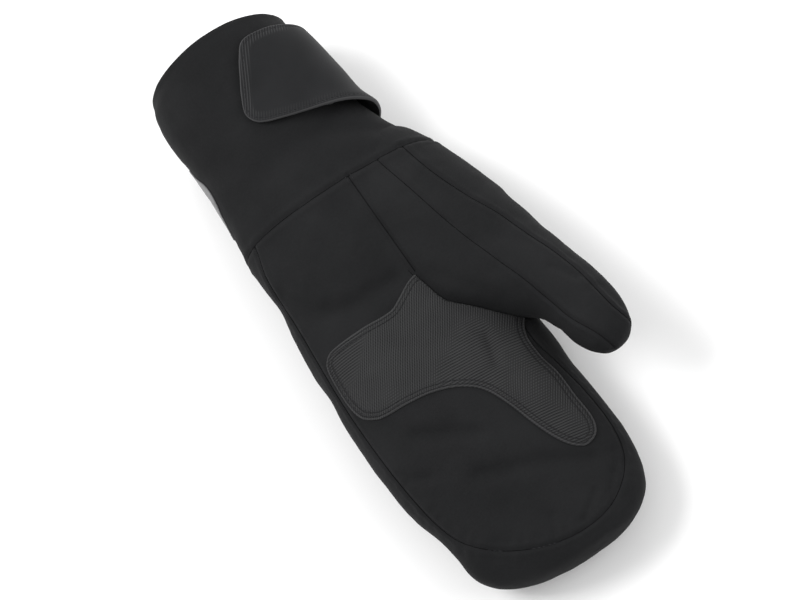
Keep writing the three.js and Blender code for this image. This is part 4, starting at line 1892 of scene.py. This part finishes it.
@dataclass
class Studio:
    """Pale floor, soft lights and the camera at the photograph's angle."""

    elevation: float = 68.0
    roll: float = 35.0
    lens: float = 180.0
    sensor: float = 36.0
    distance: float = 2.12
    aim: Way = (0.0034, -0.0015, 0.040)
    floor_half: float = 3000.0
    floor_z: float = -0.2
    pale: Tone = (0.9, 0.9, 0.9)
    daylight: float = 0.75
    lamps: tuple = (
        # name, place, side, watts
        ("key", (-0.9, 0.7, 1.6), 0.9, 26.0),
        ("fill", (1.3, -0.7, 1.2), 1.2, 12.0),
        ("rim", (0.6, 1.5, 0.7), 0.8, 10.0),
    )

    def axes(self) -> tuple[Vector, Vector, Vector]:
        """The camera's right, up and back vectors."""
        e, r = math.radians(self.elevation), math.radians(self.roll)
        back = Vector((0, -math.cos(e), math.sin(e)))
        across = Vector((1, 0, 0))
        away = Vector((0, math.sin(e), math.cos(e)))
        right = across * math.cos(r) - away * math.sin(r)
        up = across * math.sin(r) + away * math.cos(r)
        return right, up, back

    def camera(self) -> None:
        """Make the camera."""
        right, up, back = self.axes()
        data = bpy.data.cameras.new("camera")
        data.lens = self.lens
        data.sensor_width = self.sensor
        data.clip_end = 20
        camera = bpy.data.objects.new("camera", data)
        place = Vector(self.aim) + back * self.distance
        camera.matrix_world = Matrix((
            (right.x, up.x, back.x, place.x),
            (right.y, up.y, back.y, place.y),
            (right.z, up.z, back.z, place.z),
            (0, 0, 0, 1),
        ))
        bpy.context.scene.collection.objects.link(camera)
        bpy.context.scene.camera = camera

    def area(self, name: str, place: Sequence[float], size: float, power: float) -> None:
        """Add a soft square light that faces the glove.

        Args:
            name: Name of the light.
            place: Where it is, in metres.
            size: Its side.
            power: Its power in watts.
        """
        data = bpy.data.lights.new(name, "AREA")
        data.shape = "SQUARE"
        data.size = size
        data.energy = power
        light = bpy.data.objects.new(name, data)
        light.location = place
        way = Vector(self.aim) - Vector(place)
        light.rotation_euler = way.to_track_quat("-Z", "Y").to_euler()
        bpy.context.scene.collection.objects.link(light)

    def floor(self) -> None:
        """Make the floor."""
        half = self.floor_half
        corners = [(x * half, y * half, self.floor_z) for x, y in ((-1, -1), (1, -1), (1, 1), (-1, 1))]
        floor = new_object("floor", corners, [(0, 1, 2, 3)])
        n = Nodes("pale_floor")
        n.shader.inputs["Base Color"].default_value = (*self.pale, 1)
        n.shader.inputs["Roughness"].default_value = 0.9
        floor.data.materials.append(n.material)

    def build(self) -> None:
        """Make the whole studio."""
        self.camera()
        self.floor()
        world = bpy.data.worlds.new("studio")
        world.use_nodes = True
        backdrop = world.node_tree.nodes["Background"]
        backdrop.inputs["Color"].default_value = (1, 1, 1, 1)
        backdrop.inputs["Strength"].default_value = self.daylight
        bpy.context.scene.world = world
        for lamp in self.lamps:
            self.area(*lamp)
        bpy.context.scene.view_settings.view_transform = "Standard"


def main() -> None:
    """Build the glove and its studio, and report each piece."""
    logging.basicConfig(level=logging.INFO, format="%(message)s")
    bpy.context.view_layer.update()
    Studio().build()
    shell = Shell(Form())
    cloth = ShellCloth()
    shell.build(cloth.material)
    thread = PlainThread().material("thread_black")
    GripPatch(shell).build(GripWeave().material("twill_charcoal"), thread)
    SeamStitches(shell).build(thread)
    SideFlash(shell).build(ReflectiveTape().material("tape_grey"))
    Strap(shell).build(CoatedStrap().material("coated_black"), thread, FastenerPile().material("pile_black"))


if __name__ == "__main__":
    main()
